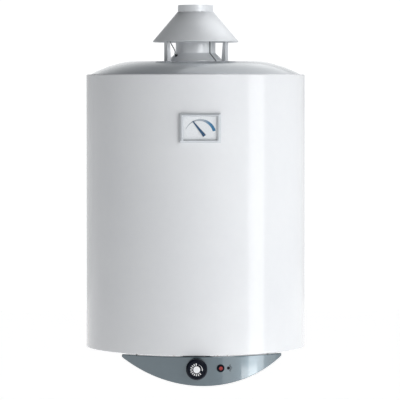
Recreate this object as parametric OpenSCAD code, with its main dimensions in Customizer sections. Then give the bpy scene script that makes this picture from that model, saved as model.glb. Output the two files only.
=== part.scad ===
// Wall-hung gas storage water heater with a draught hood on top.
// Frame: origin on the wall plane, midway between the two upper hook slots.
// +X is to the right of a person facing the heater, -Y points into the room, +Z is up.

/* [Casing] */
// Outer diameter of the casing
body_d = 495; // [420:1:600]
// Height of the casing
body_h = 615; // [540:1:760]
// Thickness of the casing sheet
casing_t = 1; // [0.8:0.1:1.5]
// Width of the turned-in flange at the casing's lower edge
casing_flange = 22; // [18:1:24]
// Depth of the insulation between tank and casing
insulation_t = 35; // [25:1:40]

/* [Top cover] */
// Width of the flat ledge between the casing's edge and the domed cover
ledge_w = 10.7; // [6:0.1:20]
// Height of the dome above the casing's edge
dome_rise = 29; // [20:1:40]
// Diameter of the flat middle of the dome
dome_flat_d = 300; // [230:1:320]
// Thickness of the cover and hood sheet
sheet_t = 1; // [0.8:0.1:1.5]

/* [Tank] */
// Wall of the water tank
tank_t = 3; // [2:0.1:4]
// Height of the tank's lower rim above the casing's lower edge
tank_z = 100; // [90:1:120]
// Outer diameter of the flue tube through the tank
flue_d = 87; // [70:1:90]
// Wall of the flue tube
flue_t = 2.5; // [2:0.1:3]
// Diameter of the water nipples
water_d = 20.96; // [15:0.01:27]
// Distance between the two water nipples
water_spacing = 210; // [180:1:240]
// Free length of a water nipple below the casing
water_len = 32; // [25:1:45]

/* [Draught hood] */
// Outer diameter of the collar that takes the chimney pipe
collar_d = 80; // [70:1:85]
// Free height of the collar
collar_h = 15.4; // [12:0.1:40]
// Diameter of the skirt's lower edge
skirt_d = 193; // [175:1:210]
// Height of the skirt's cone
skirt_h = 67; // [55:1:80]
// Height of the open gap between the dome and the skirt
hood_gap = 45; // [38:1:60]
// Diameter of the conical foot round the flue pipe
cone_d = 127; // [115:1:140]
// Height of the conical foot
cone_h = 19; // [12:1:24]

/* [Control panel] */
// Angle by which the panel is turned to the right of the front
panel_turn = 2.3; // [-5:0.1:5]
// Half of the panel's width across its two ends
panel_half_w = 177; // [150:1:180]
// Radius of the panel's curved lower edge
panel_arc_r = 300; // [280:1:340]
// Depth of the panel below the casing at its middle
panel_drop = 65; // [60:1:75]
// Wall of the panel
panel_t = 3; // [2:0.1:4]
// Gap between the casing and the panel's upper edge
panel_gap = 2; // [1:0.1:4]

/* [Knob and button] */
// Diameter of the gas knob
knob_d = 46.5; // [36:0.5:48]
// Height of the gas knob
knob_h = 19; // [14:1:24]
// Distance of the knob's axis below the casing
knob_drop = 28; // [25:0.1:30]
// Angle of the knob from the front, negative to the left
knob_turn = -1.74; // [-4:0.01:0]
// Inward travel of the knob
knob_push = 3; // [2:0.1:3.5]
// Diameter of the valve spindle
spindle_d = 8; // [6:0.1:8]
// Diameter of the ignition button
button_d = 8.2; // [6:0.1:9]
// Angle of the ignition button from the front
button_turn = 10.5; // [10:0.1:12]
// Distance of the button's axis below the casing
button_drop = 27.6; // [20:0.1:28]
// Travel of the ignition button
button_travel = 4; // [2:0.1:4.5]

/* [Thermometer] */
// Outer width of the thermometer frame
therm_w = 90.5; // [80:0.5:100]
// Outer height of the thermometer frame
therm_h = 64; // [56:0.5:72]
// Height of the thermometer's centre above the casing's lower edge
therm_z = 497.5; // [440:0.5:520]
// Width of the frame's border
therm_border = 8.5; // [6:0.1:10]
// Radius of the scale arc
scale_r = 34; // [28:0.5:34]

/* [Wall fixing] */
// Gap between the casing and the wall
wall_gap = 15; // [10:1:40]
// Height of the upper hook slots above the casing's lower edge
hook_z = 480; // [440:1:500]
// Distance between the two hook slots of a bracket
hook_spacing = 260; // [220:1:280]
// Length of a hook slot
hook_slot = 20; // [14:1:26]
// Width of a hook slot
hook_slot_w = 11; // [9:0.5:13]
// Thickness of the bracket sheet
bracket_t = 2; // [1.5:0.1:3]

/* [Hidden] */
$fn = 96;
eps = 0.01;
fit = 0.3;        // room between pieces that pass through or sit in each other
run_fit = 0.05;   // running clearance round the spindle and the sleeve

body_r = body_d / 2;
axis_y = -(body_r + wall_gap);
cover_r = body_r - ledge_w;
cover_skirt = 8;
dome_z = body_h + dome_rise;
dome_flat_r = dome_flat_d / 2;
jacket_out = body_r - casing_t - 3.5;
jacket_in = jacket_out - insulation_t;
tank_r = jacket_in - 3;
tank_side_top = body_h - 75;
tank_crown = 50;
tank_foot = 25;
flue_r = flue_d / 2;
chamber_r = tank_r - 56;
chamber_t = 1.2;
chamber_seat = chamber_r - 9;
nipple_r = (chamber_r + tank_r) / 2 + 1;
nipple_turn = 180 - asin(water_spacing / 2 / nipple_r);
water_r = water_d / 2;
pipe_r = flue_r + 0.5 + sheet_t;
cone_r = cone_d / 2;
cone_top = dome_z + cone_h;
skirt_r = skirt_d / 2;
skirt_z = dome_z + hood_gap;
skirt_top = skirt_z + skirt_h;
collar_r = collar_d / 2;
collar_top = skirt_top + collar_h;
leg_r = 78;
LEG_TURNS = [-60, 60, 180];
seam_turn = 40;
panel_r = body_r - 0.7;
panel_in = panel_r - panel_t;
panel_lip = 22;
arc_z = panel_arc_r - panel_drop;
plate_t = 1.2;
plate_top = casing_t + plate_t;
burner_r = 62;
pilot_r = 72;
PILOT_TURNS = [30, 38, 46];
venturi_z = 22;
venturi_r = 13;
valve_w = 60;
valve_h = 50;
valve_top = -1;
valve_back = chamber_r + 20;
valve_front = body_r - 28;
gas_pipe_r = valve_back + 6;
spindle_r = spindle_d / 2;
sleeve_r = spindle_r + 2;
knob_r = knob_d / 2;
knob_back = panel_r + knob_push + 1.2;
button_r = button_d / 2;
neck_r = button_r + 2.5;
needle_x = 8.3;
needle_z = therm_z - 15.2;
scale_x = 0.9;
needle_angle = 129;
needle_pin_r = 1;
scale_from = 16;
scale_to = 160;
frame_front = body_r + 6.5;
dial_r = body_r + 1;
anode_turn = 100;
bulb_turn = -60;
board_screw_in = 12;   // the panel's screws stand this far inside the casing wall
board_screw_r = body_r - board_screw_in;
board_screw_reach = 0.82;   // share of the panel's half width where its outer screws stand
board_screw_turn = asin(board_screw_reach * panel_half_w / board_screw_r);
BOARD_SCREWS = [-board_screw_turn, 0, board_screw_turn];
dome_bend = 45;
frame_screw_turn = asin((therm_w / 2 - therm_border / 2) / body_r);
igniter_in = 52;   // the igniter's body ends this far inside the casing wall
igniter_back = body_r - igniter_in;
gas_bore = 7;
gas_r = 10.48;
button_stem = 16;
sign_gap = 4.2;   // angle from the button to the printed sign
button_back = panel_r - button_stem - button_travel;
ring_h = 4;
ring_low = casing_t - ring_h;
low_hook_z = 70;
web_x = 98;
foot_x = 113;
foot_turn = 180 - asin(foot_x / body_r);
pipe_end = skirt_z + 21;
seam_w = 8;
skirt_tilt = atan((skirt_r - collar_r) / skirt_h);
skirt_wall = sheet_t / cos(skirt_tilt);
grommet_turn = -58;
grommet_z = dome_z + 12.8;
grommet_r = 2.5;
grommet_gap = 0.2;   // room round the grommet in its hole
grommet_out = 9.5;   // its outer end, this far from the pipe's skin
leg_fold = 5.8;
sensor_r = leg_r - 13;
window_w = therm_w - 2 * therm_border;
window_h = therm_h - 2 * therm_border + 4;
glass_y = frame_front - 2.4;

// Places that share the heater's own axis: z = 0 is the casing's lower edge.
module at_axis() { translate([0, axis_y, -hook_z]) children(); }

// A place on the front: local X right, local Y up, local Z outwards, at radius r.
module facing(turn, z, r) {
    rotate([0, 0, turn]) translate([0, -r, z]) rotate([90, 0, 0]) children();
}

// A place on the dial's axis, facing the room, at distance y in front of the heater's axis.
module on_dial(y) { translate([needle_x, -y, needle_z]) rotate([90, 0, 0]) children(); }

// A round tube standing on z, given by its two radii and its height.
module tube(outer, inner, z, h) {
    translate([0, 0, z]) difference() {
        cylinder(r = outer, h = h);
        translate([0, 0, -eps]) cylinder(r = inner, h = h + 2 * eps);
    }
}

// Points of an ellipse in the (radius, height) plane, from radius r0 to r1.
function dish(a, b, z, r0, r1, n) =
    [for (i = [0:n]) let (r = r0 + (r1 - r0) * i / n) [r, z + b * sqrt(max(0, 1 - pow(r / a, 2)))]];

// Sweep of a round section with n sides along a list of points.
function unit(v) = v / norm(v);
function side(t) = unit(cross(t, abs(t[2]) < 0.9 ? [0, 0, 1] : [0.6, 0.8, 0]));
function rings(p, r, n) = [for (i = [0:len(p) - 1]) let (t = heading(p, i), u = side(t), v = cross(t, u))
    for (k = [0:n - 1]) p[i] + r * (cos(360 * k / n) * u + sin(360 * k / n) * v)];
function walls(m, n) = [for (i = [0:m - 2], k = [0:n - 1], half = [0, 1])
    let (a = i * n + k, b = i * n + (k + 1) % n)
    half == 0 ? [a, a + n, b + n] : [a, b + n, b]];
module sweep(p, r, n = 8) {
    m = len(p);
    polyhedron(points = rings(p, r, n), faces = concat(walls(m, n),
        [[for (k = [0:n - 1]) k]], [[for (k = [n - 1:-1:0]) (m - 1) * n + k]]));
}
// A smooth curve through hand-set points, steps rings between neighbours. At a point it runs
// along the line between the two neighbours, and each stretch is eased by its own length.
function heading(p, i) = unit(p[min(i + 1, len(p) - 1)] - p[max(i - 1, 0)]);
function spline(p, steps = 5) = concat([for (i = [0:len(p) - 2], s = [0:steps - 1])
    let (t = s / steps, span = norm(p[i + 1] - p[i]), u = heading(p, i) * span,
        v = heading(p, i + 1) * span)
    (2 * t * t * t - 3 * t * t + 1) * p[i] + (t * t * t - 2 * t * t + t) * u
        + (3 * t * t - 2 * t * t * t) * p[i + 1] + (t * t * t - t * t) * v], [p[len(p) - 1]]);

// Points at an angle from the front, and points of the valve's own turned frame.
function polar(turn, r, z) = [r * sin(turn), -r * cos(turn), z];
function turned(a, p) = [p[0] * cos(a) - p[1] * sin(a), p[0] * sin(a) + p[1] * cos(a), p[2]];

/* ---- Shell ---- */

module outer_casing() {
    color("white") at_axis() difference() {
        rotate_extrude() polygon([
            [body_r - casing_flange, 0], [body_r - 0.8, 0], [body_r, 0.8],
            [body_r, body_h - 1.5], [body_r - 1.5, body_h],
            [cover_r + fit, body_h], [cover_r + fit, body_h - casing_t],
            [body_r - casing_t - 0.6, body_h - casing_t], [body_r - casing_t, body_h - 1.6],
            [body_r - casing_t, casing_t], [body_r - casing_flange, casing_t]]);
        on_dial(body_r - 10) cylinder(r = 5, h = 20);
        for (side = [-1, 1])
            facing(side * frame_screw_turn, therm_z, body_r - 10) cylinder(r = 1.6, h = 20);
        for (a = BOARD_SCREWS) rotate([0, 0, panel_turn + a])
            translate([0, -board_screw_r, -1]) cylinder(r = 2.2, h = 4);
        for (z = [hook_z, low_hook_z], side = [-1, 1])
            facing(side * foot_turn, z, body_r - 5) cylinder(r = 2.2, h = 10);
    }
}

module top_cover() {
    t = sheet_t;
    color("lightgray") at_axis() difference() {
        rotate_extrude() polygon(concat(
            [[cover_r, body_h - cover_skirt], [cover_r, body_h]],
            [for (i = [0:6]) let (a = 20 - 20 * i / 6, h = dome_bend * (cos(a) - 1))
                [dome_flat_r + dome_bend * sin(a), dome_z + h]],
            [[flue_r + 4, dome_z], [flue_r + 4, dome_z - t]],
            [for (i = [0:6]) let (a = 20 * i / 6, h = (dome_bend - t) * (cos(a) - 1))
                [dome_flat_r + (dome_bend - t) * sin(a), dome_z - t + h]],
            [[cover_r - t, body_h - t * 0.6], [cover_r - t, body_h - cover_skirt]]));
        for (a = LEG_TURNS) rotate([0, 0, a])
            translate([-3.4, -leg_r - 1.5, dome_z - 6]) cube([6.8, 1.8, 12]);
    }
}

module bottom_cover() {
    color("lightgray") at_axis() difference() {
        tube(body_r - casing_t - fit, chamber_r + fit, casing_t, plate_t);
        for (side = [-1, 1]) rotate([0, 0, side * nipple_turn])
            translate([0, -nipple_r, -2]) cylinder(r = water_r + 3, h = 8);
        rotate([0, 0, knob_turn]) translate([0, -gas_pipe_r, -2]) cylinder(r = 6.5, h = 8);
        translate(polar(-18, nipple_r, -2)) cylinder(r = 3, h = 8);
        for (a = BOARD_SCREWS) rotate([0, 0, panel_turn + a])
            translate([0, -board_screw_r, -1]) cylinder(r = 2.2, h = 6);
    }
}

module insulation_jacket() {
    color("khaki") at_axis() difference() {
        tube(jacket_out, jacket_in, 30, tank_side_top + tank_crown - 29);
        on_dial(jacket_in - 20) cylinder(r = 7, h = insulation_t + 40);
    }
}

module top_insulation() {
    base = tank_side_top + tank_crown + 2;
    color("khaki") at_axis() tube(jacket_out, flue_r + 3, base, body_h - cover_skirt - 1 - base);
}

/* ---- Tank and flue ---- */

module inner_tank() {
    h = flue_r + 0.2;
    color("slategray") at_axis() difference() {
        rotate_extrude() polygon(concat(
            dish(chamber_seat, tank_foot, tank_z, h, chamber_seat, 10),
            [[tank_r, tank_z], [tank_r, tank_side_top]],
            dish(tank_r, tank_crown, tank_side_top, tank_r, h, 16),
            dish(tank_r - tank_t, tank_crown - tank_t, tank_side_top, h, tank_r - tank_t, 16),
            [[tank_r - tank_t, tank_z + tank_t]],
            dish(chamber_seat, tank_foot, tank_z + tank_t, chamber_seat, h, 10)));
        for (side = [-1, 1]) rotate([0, 0, side * nipple_turn])
            translate([0, -nipple_r, tank_z - 5]) cylinder(r = water_r + 0.1, h = 20);
        translate(polar(anode_turn, nipple_r, tank_z - 5)) cylinder(r = 14, h = 20);
        translate(polar(bulb_turn, nipple_r, tank_z - 5)) cylinder(r = 6.2, h = 20);
        on_dial(tank_r - 30) cylinder(r = 5.1, h = 60);
    }
}

module flue_tube() {
    color("dimgray") at_axis() tube(flue_r, flue_r - flue_t, tank_z + 8, dome_z + 8 - tank_z - 8);
}

// A flat strip folded into a zigzag, hung in the flue to slow the hot gas.
module flue_baffle() {
    folds = 12;
    low = tank_z + 60;
    step = (dome_z - 30 - low) / folds;
    swing = 12;
    color("darkgray") at_axis() translate([-30, 0, 0]) rotate([90, 0, 90])
        linear_extrude(60) polygon(concat(
            [for (i = [0:folds]) [(i % 2 == 0 ? -swing : swing), low + i * step]],
            [for (i = [folds:-1:0]) [(i % 2 == 0 ? -swing : swing) + 1.6, low + i * step]]));
}

module combustion_chamber() {
    color("silver") at_axis() difference() {
        union() {
            tube(chamber_r, chamber_r - chamber_t, plate_top, tank_z - plate_top);
            tube(chamber_r + 4, chamber_r - chamber_t, plate_top, chamber_t);
        }
        facing(knob_turn, venturi_z, chamber_r - 20) cylinder(r = venturi_r + 0.5, h = 40);
        facing(25, 55, chamber_r - 20) cylinder(r = 12, h = 40);
        for (a = [60:20:300]) rotate([0, 0, a]) translate([-12, -chamber_r - 5, 12]) cube([24, 20, 5]);
    }
}

module burner_tray() {
    r = chamber_r - chamber_t - fit;
    color("silver") at_axis() difference() {
        rotate_extrude() polygon([[45, plate_top + 1.2], [r, plate_top + 1.2], [r, plate_top + 16],
            [r - 1.2, plate_top + 16], [r - 1.2, plate_top + 2.4], [45, plate_top + 2.4]]);
        for (a = [0:15:345]) rotate([0, 0, a + 7]) translate([-3, -r + 12, 0]) cube([6, 22, 12]);
        for (a = PILOT_TURNS) translate(polar(a, pilot_r, 0)) cylinder(r = 3.6, h = 12);
        facing(knob_turn, venturi_z, chamber_r - 20) cylinder(r = venturi_r + 0.5, h = 40);
    }
}

module burner() {
    color("gray") at_axis() difference() {
        rotate_extrude() polygon([[0, 8], [30, 8], [30, 44], [burner_r, 46], [burner_r, 54],
            [20, 58], [0, 58], [0, 56], [19, 56], [burner_r - 2, 52.2], [burner_r - 2, 47.8],
            [28, 45.6], [28, 10], [0, 10]]);
        facing(knob_turn, venturi_z, 20) cylinder(r = venturi_r + 0.2, h = 40);
        for (a = [0:15:345]) rotate([0, 0, a]) translate([-1.5, -burner_r - 3, 48.6]) cube([3, 8, 2.8]);
    }
}

// Mixing tube with a flared mouth; gas and air enter at its outer end.
module venturi() {
    color("gray") at_axis() facing(knob_turn, venturi_z, 26) rotate_extrude() polygon([
        [venturi_r - 1.5, 0], [venturi_r, 0], [venturi_r, chamber_r - 22],
        [venturi_r + 4, chamber_r - 10], [venturi_r + 2.8, chamber_r - 10],
        [venturi_r - 1.5, chamber_r - 22]]);
}

module burner_gas_pipe() {
    color("goldenrod") at_axis() rotate([0, 0, knob_turn]) difference() {
        union() {
            translate([0, -gas_pipe_r, valve_top]) cylinder(r = 5, h = venturi_z - valve_top);
            translate([-8, -gas_pipe_r - 7, venturi_z - 8]) cube([16, 14, 16]);
        }
        translate([0, -gas_pipe_r, valve_top - 1]) cylinder(r = 3.5, h = venturi_z - valve_top + 1);
        translate([0, -gas_pipe_r, venturi_z]) rotate([-90, 0, 0]) cylinder(r = 2.6, h = 20);
    }
}

module injector() {
    color("gold") at_axis() facing(knob_turn, venturi_z, gas_pipe_r - 13) difference() {
        rotate_extrude() polygon([[0.6, 0], [1.8, 0], [4, 2.5], [4, 5.9], [2.5, 5.9], [2.5, 11],
            [1.6, 11], [1.6, 3], [0.6, 2]]);
    }
}

module pilot_bracket() {
    color("silver") at_axis() difference() {
        translate([0, 0, 28]) rotate([0, 0, PILOT_TURNS[0] - 96]) rotate_extrude(angle = 28)
            translate([30.2, 0]) square([pilot_r + 8 - 30.2, 1.5]);
        for (a = PILOT_TURNS) translate(polar(a, pilot_r, 20)) cylinder(r = 3.2, h = 20);
    }
}

module pilot_burner() {
    color("gold") at_axis() translate(polar(PILOT_TURNS[0], pilot_r, 0)) {
        translate([0, 0, 24]) cylinder(r = 3, h = 18);
        translate([0, 0, 42]) cylinder(r = 4.5, h = 6);
    }
}

module pilot_pipe() {
    color("silver") at_axis() sweep(spline([
        turned(knob_turn, [24, -valve_back, -20]), turned(knob_turn, [24, -valve_back + 12, -20]),
        polar(PILOT_TURNS[0] - 8, pilot_r + 30, -16), polar(PILOT_TURNS[0], pilot_r + 6, -10),
        polar(PILOT_TURNS[0], pilot_r, 0), polar(PILOT_TURNS[0], pilot_r, 24)]), 1.8);
}

module ignition_electrode() {
    color("ivory") at_axis() translate(polar(PILOT_TURNS[2], pilot_r, 0)) {
        translate([0, 0, 22]) cylinder(r = 3, h = 22);
        translate([0, 0, 44]) cylinder(r = 0.9, h = 8);
    }
}

module ignition_lead() {
    color("firebrick") at_axis() sweep(spline([
        polar(button_turn, igniter_back, -button_drop), polar(button_turn, igniter_back - 12, -button_drop),
        polar(PILOT_TURNS[2] - 16, pilot_r + 60, -14), polar(PILOT_TURNS[2], pilot_r + 8, -8),
        polar(PILOT_TURNS[2], pilot_r, 2), polar(PILOT_TURNS[2], pilot_r, 22)]), 1.5);
}

module thermocouple() {
    color("sandybrown") at_axis() {
        translate(polar(PILOT_TURNS[1], pilot_r, 24)) cylinder(r = 2.4, h = 28);
        sweep(spline([
            turned(knob_turn, [8, -valve_back, -30]), turned(knob_turn, [8, -valve_back + 12, -30]),
            polar(PILOT_TURNS[1] - 16, pilot_r + 40, -24), polar(PILOT_TURNS[1], pilot_r + 4, -16),
            polar(PILOT_TURNS[1], pilot_r, -4), polar(PILOT_TURNS[1], pilot_r, 24.5)]), 1.2);
    }
}

/* ---- Gas control and ignition ---- */

module gas_valve() {
    bore_r = sleeve_r + run_fit;
    color("silver") at_axis() rotate([0, 0, knob_turn]) difference() {
        union() {
            translate([-valve_w / 2, -valve_front, valve_top - valve_h])
                cube([valve_w, valve_front - valve_back, valve_h]);
            facing(0, -knob_drop, valve_front - 1) cylinder(r = sleeve_r + 5, h = panel_in - valve_front);
        }
        facing(0, -knob_drop, valve_front - 24) cylinder(r = bore_r, h = 60);
        translate([0, -gas_pipe_r, valve_top - 12]) cylinder(r = 3.5, h = 20);
        translate([0, -valve_back - 30, valve_top - valve_h - 1]) cylinder(r = gas_bore, h = 20);
    }
}

module valve_bracket() {
    color("silver") at_axis() rotate([0, 0, knob_turn]) difference() {
        translate([-valve_w / 2 - 5, -valve_front + 5, valve_top])
            cube([valve_w + 10, valve_front - valve_back - 5, casing_t - valve_top]);
        translate([0, -gas_pipe_r, valve_top - 1]) cylinder(r = 5 + fit, h = 8);
    }
}

module gas_inlet() {
    base = valve_top - valve_h;
    color("goldenrod") at_axis() rotate([0, 0, knob_turn]) translate([0, -valve_back - 30, 0])
        tube(gas_r, gas_bore, -panel_drop, base + panel_drop);
}

module push_sleeve() {
    color("gold") at_axis() facing(knob_turn, -knob_drop, valve_front - 15)
        tube(sleeve_r, spindle_r + run_fit, 0, panel_in - valve_front + 10);
}

module valve_spindle() {
    color("gray") at_axis() facing(knob_turn, -knob_drop, valve_front - 20)
        cylinder(r = spindle_r, h = knob_back + 12 - valve_front + 20);
}

module control_knob() {
    color([0.05, 0.06, 0.08]) at_axis() facing(knob_turn, -knob_drop, knob_back)
        rotate_extrude() polygon(concat(
            [[knob_r - 2.5, 0], [knob_r, 0], [knob_r - 0.8, knob_h - 3]],
            [for (a = [15:15:90]) [knob_r - 3.8 + 3 * cos(a), knob_h - 3 + 3 * sin(a)]],
            [[0, knob_h], [0, 13], [spindle_r + run_fit, 13], [spindle_r + run_fit, 0],
            [spindle_r + 5, 0], [spindle_r + 5, knob_h - 2.5], [knob_r - 3.5, knob_h - 3.2]]));
}

// Raised white marks on the knob's face: a dot, a fan of ticks and an arc.
module knob_marks() {
    h = 0.3;
    color("white") at_axis() facing(knob_turn, -knob_drop, knob_back + knob_h) {
        cylinder(r = 7, h = h);
        for (i = [0:10]) rotate([0, 0, 95 + 21.5 * i]) translate([9, -1.1, 0]) cube([5, 2.2, h]);
        rotate([0, 0, -10]) rotate_extrude(angle = 70) translate([11.6, 0]) square([1.6, h]);
    }
}

// Front outline of the panel, drawn in and carried back along Y.
module crescent(inset, top) {
    rotate([90, 0, 0]) linear_extrude(body_r + 10) intersection() {
        translate([0, arc_z]) circle(r = panel_arc_r - inset, $fn = 360);
        translate([-panel_half_w + inset, -panel_drop - 1])
            square([2 * (panel_half_w - inset), panel_drop + 1 - top]);
    }
}

module control_panel() {
    lip_in = panel_in - panel_lip + 4;
    color("lightslategray") at_axis() difference() {
        rotate([0, 0, panel_turn]) difference() {
            union() {
                intersection() {
                    crescent(0, panel_gap);
                    tube(panel_r, panel_in, -panel_drop - 2, panel_drop + 2);
                }
                intersection() {
                    difference() { crescent(0, panel_gap); crescent(panel_t, panel_gap + panel_t); }
                    tube(panel_in + 0.5, lip_in, -panel_drop - 2, panel_drop + 2);
                }
                for (a = BOARD_SCREWS) rotate([0, 0, a])
                    translate([0, -board_screw_r, -panel_gap - 1]) cylinder(r = 5, h = panel_gap + 1);
            }
            for (a = BOARD_SCREWS) rotate([0, 0, a])
                translate([0, -board_screw_r, -20]) cylinder(r = 2.2, h = 22);
        }
        facing(knob_turn, -knob_drop, body_r - 20) cylinder(r = spindle_r + 3, h = 40);
        facing(button_turn, -button_drop, body_r - 20) cylinder(r = neck_r + 0.2, h = 40);
    }
}

module panel_screws() {
    low = -panel_gap - panel_t;
    color("silver") at_axis() for (a = BOARD_SCREWS) rotate([0, 0, panel_turn + a])
        translate([0, -board_screw_r, 0]) {
            translate([0, 0, low - 2.4]) cylinder(r = 3.8, h = 2.4);
            translate([0, 0, low - eps]) cylinder(r = 2, h = plate_top + 3 - low);
        }
}

// Small raised sign of a spark beside the button: a dot and five rays.
module spark_symbol() {
    color("black") at_axis() intersection() {
        tube(panel_r + 0.3, panel_r, -panel_drop, panel_drop);
        facing(button_turn + sign_gap, -button_drop, panel_r - 4) {
            cylinder(r = 2.6, h = 8);
            for (a = [-60:30:60]) rotate([0, 0, a]) translate([4.6, -0.5, 0])
                cube([a % 60 == 0 ? 4 : 2.6, 1, 8]);
        }
    }
}

module piezo_igniter() {
    bore_r = button_r + 0.2;
    color([0.1, 0.1, 0.11]) at_axis() facing(button_turn, -button_drop, igniter_back) difference() {
        union() {
            cylinder(r = neck_r + 2.4, h = panel_in - 0.8 - igniter_back);
            cylinder(r = neck_r, h = panel_r + 3.4 - igniter_back);
        }
        translate([0, 0, 10]) cylinder(r = bore_r, h = 80);
    }
}

module igniter_nut() {
    color([0.1, 0.1, 0.11]) at_axis() facing(button_turn, -button_drop, 0)
        tube(neck_r + 2, neck_r + 0.15, panel_r + 0.2, 2);
}

module piezo_button() {
    color("firebrick") at_axis() facing(button_turn, -button_drop, button_back)
        rotate_extrude() polygon([[0, 0], [button_r, 0], [button_r, panel_r + 3.8 - button_back],
            [button_r - 0.7, panel_r + 4.5 - button_back], [0, panel_r + 4.5 - button_back]]);
}

module button_spring() {
    turns = 7;
    steps = 12;
    coil_r = button_r - 1.1;
    h = button_back - igniter_back - 10 - 1.2;
    color("silver") at_axis() facing(button_turn, -button_drop, igniter_back + 10.6)
        sweep([for (i = [0:turns * steps]) let (a = 360 * i / steps)
            [coil_r * cos(a), coil_r * sin(a), h * i / (turns * steps)]], 0.45, 6);
}

module thermostat_bulb() {
    color("sandybrown") at_axis() {
        translate(polar(bulb_turn, nipple_r, tank_z - 10)) cylinder(r = 6, h = 160);
        sweep(spline([
            polar(bulb_turn, nipple_r, tank_z - 9), polar(bulb_turn, nipple_r, tank_z - 50),
            polar(-52, nipple_r, 26), polar(-30, nipple_r, 20), polar(-18, nipple_r, 8),
            polar(-18, nipple_r, -6), turned(knob_turn, [-valve_w / 2 - 10, -valve_back - 18, -16]),
            turned(knob_turn, [-valve_w / 2, -valve_back - 20, -16])], 4), 1.1);
    }
}

/* ---- Water side ---- */

// A nipple: a full-size end below the plastic ring, and a thinner pipe up into the tank.
module nipple(top) {
    difference() {
        union() {
            translate([0, 0, -water_len]) cylinder(r = water_r, h = water_len + ring_low - 1);
            translate([0, 0, ring_low - 1]) cylinder(r = water_r - 0.4, h = top - ring_low + 1);
        }
        translate([0, 0, -water_len - 1]) cylinder(r = water_r - 2.6, h = top + water_len + 2);
    }
}

module cold_inlet() {
    color("silver") at_axis() translate(polar(nipple_turn, nipple_r, 0)) nipple(tank_z + 40);
}

module hot_outlet() {
    color("silver") at_axis() translate(polar(-nipple_turn, nipple_r, 0)) nipple(tank_side_top);
}

module pipe_ring() { tube(water_r + 6, water_r + 0.2, ring_low, ring_h); }
module cold_ring() { color("royalblue") at_axis() translate(polar(nipple_turn, nipple_r, 0)) pipe_ring(); }
module hot_ring() { color("crimson") at_axis() translate(polar(-nipple_turn, nipple_r, 0)) pipe_ring(); }

module anode_rod() {
    color("gainsboro") at_axis() translate(polar(anode_turn, nipple_r, tank_z - 9))
        cylinder(r = 10.5, h = 320);
}

module anode_flange() {
    color("silver") at_axis() translate(polar(anode_turn, nipple_r, 0)) {
        tube(21, 10.7, tank_z - 8, 6);
        for (a = [0:60:300]) rotate([0, 0, a]) translate([16, 0, tank_z - 12]) cylinder(r = 2.5, h = 4);
    }
}

module anode_gasket() {
    color([0.15, 0.15, 0.15]) at_axis() translate(polar(anode_turn, nipple_r, 0))
        tube(21, 14, tank_z - 2, 2);
}

/* ---- Wall fixing ---- */

// Channel with two ears: the middle stands off the casing, each ear has a slot.
module wall_bracket(z) {
    ear = hook_spacing / 2 + hook_slot / 2 + 10;
    back = body_r + wall_gap;
    difference() {
        union() {
            translate([-ear, back - bracket_t, z - 20]) cube([2 * ear, bracket_t, 40]);
            intersection() {
                union() for (side = [-1, 1]) translate([side * web_x - bracket_t / 2, 0, z - 20])
                    cube([bracket_t, back, 40]);
                tube(back + 100, body_r, z - 20, 40);
            }
            intersection() {
                tube(body_r + bracket_t, body_r, z - 20, 40);
                union() for (side = [-1, 1])
                    translate([side * foot_x - 15, 0, z - 20]) cube([30, back, 40]);
            }
        }
        for (side = [-1, 1]) translate([side * hook_spacing / 2, back - bracket_t - 1, z])
            rotate([-90, 0, 0]) slot(hook_slot, hook_slot_w / 2, bracket_t + 2);
        for (side = [-1, 1]) facing(side * foot_turn, z, body_r - 5) cylinder(r = 2.2, h = 20);
        for (side = [-1, 1]) facing(side * foot_turn, z, body_r + bracket_t + 0.05)
            cylinder(r = 4.3, h = 30);
    }
}
module slot(length, r, h) {
    reach = length / 2 - r;
    for (side = [-1, 1]) translate([side * reach, 0, 0]) cylinder(r = r, h = h);
    translate([-reach, -r, 0]) cube([2 * reach, 2 * r, h]);
}

module wall_bracket_upper() { color("silver") at_axis() wall_bracket(hook_z); }
module wall_bracket_lower() { color("silver") at_axis() wall_bracket(low_hook_z); }

module bracket_screws() {
    color("silver") at_axis() for (z = [hook_z, low_hook_z], side = [-1, 1])
        facing(side * foot_turn, z, body_r - casing_t - 1) {
            cylinder(r = 2, h = casing_t + 1 + bracket_t + 0.1);
            translate([0, 0, casing_t + 1 + bracket_t + 0.08]) cylinder(r = 4, h = 2.4);
        }
}

/* ---- Draught hood ---- */

// Conical foot and pipe in one sheet, with the lap seam down its front right.
module flue_pipe() {
    t = sheet_t;
    color("silver") at_axis() difference() {
        union() {
            rotate_extrude() polygon([[cone_r - 1.5, dome_z], [cone_r, dome_z], [cone_r, dome_z + 1.5],
                [pipe_r, cone_top], [pipe_r, pipe_end], [pipe_r - t, pipe_end],
                [pipe_r - t, cone_top - 0.4], [cone_r - 1.5, dome_z + 1.2]]);
            rotate([0, 0, seam_turn - 90 - seam_w / 2]) rotate_extrude(angle = seam_w) polygon([
                [cone_r - 1, dome_z + 0.9], [cone_r + 0.8, dome_z + 1.5], [pipe_r + 0.8, cone_top + 0.2],
                [pipe_r + 0.8, pipe_end], [pipe_r - 0.5, pipe_end], [pipe_r - 0.5, cone_top - 0.2]]);
        }
        facing(grommet_turn, grommet_z, pipe_r - 3) cylinder(r = grommet_r + grommet_gap, h = 30);
    }
}

module hood_leg() {
    plate_r = leg_r + 1.2;
    top = skirt_z + (skirt_r - plate_r) * skirt_h / (skirt_r - collar_r) - skirt_wall - 1.5;
    translate([-7, -plate_r, dome_z]) cube([14, 1.2, top - dome_z]);
    translate([-3.1, -plate_r, dome_z - 5]) cube([6.2, 1.2, 5.5]);
    translate([-5, -plate_r, top - 1]) rotate([-skirt_tilt, 0, 0]) cube([10, 1.2, 13]);
    translate([leg_fold, -leg_r - eps, dome_z]) rotate([90, 0, 90]) linear_extrude(1.2)
        polygon([[0, 0], [9, 0], [5, skirt_z - dome_z + 4], [0, skirt_z - dome_z + 4]]);
}

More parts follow.
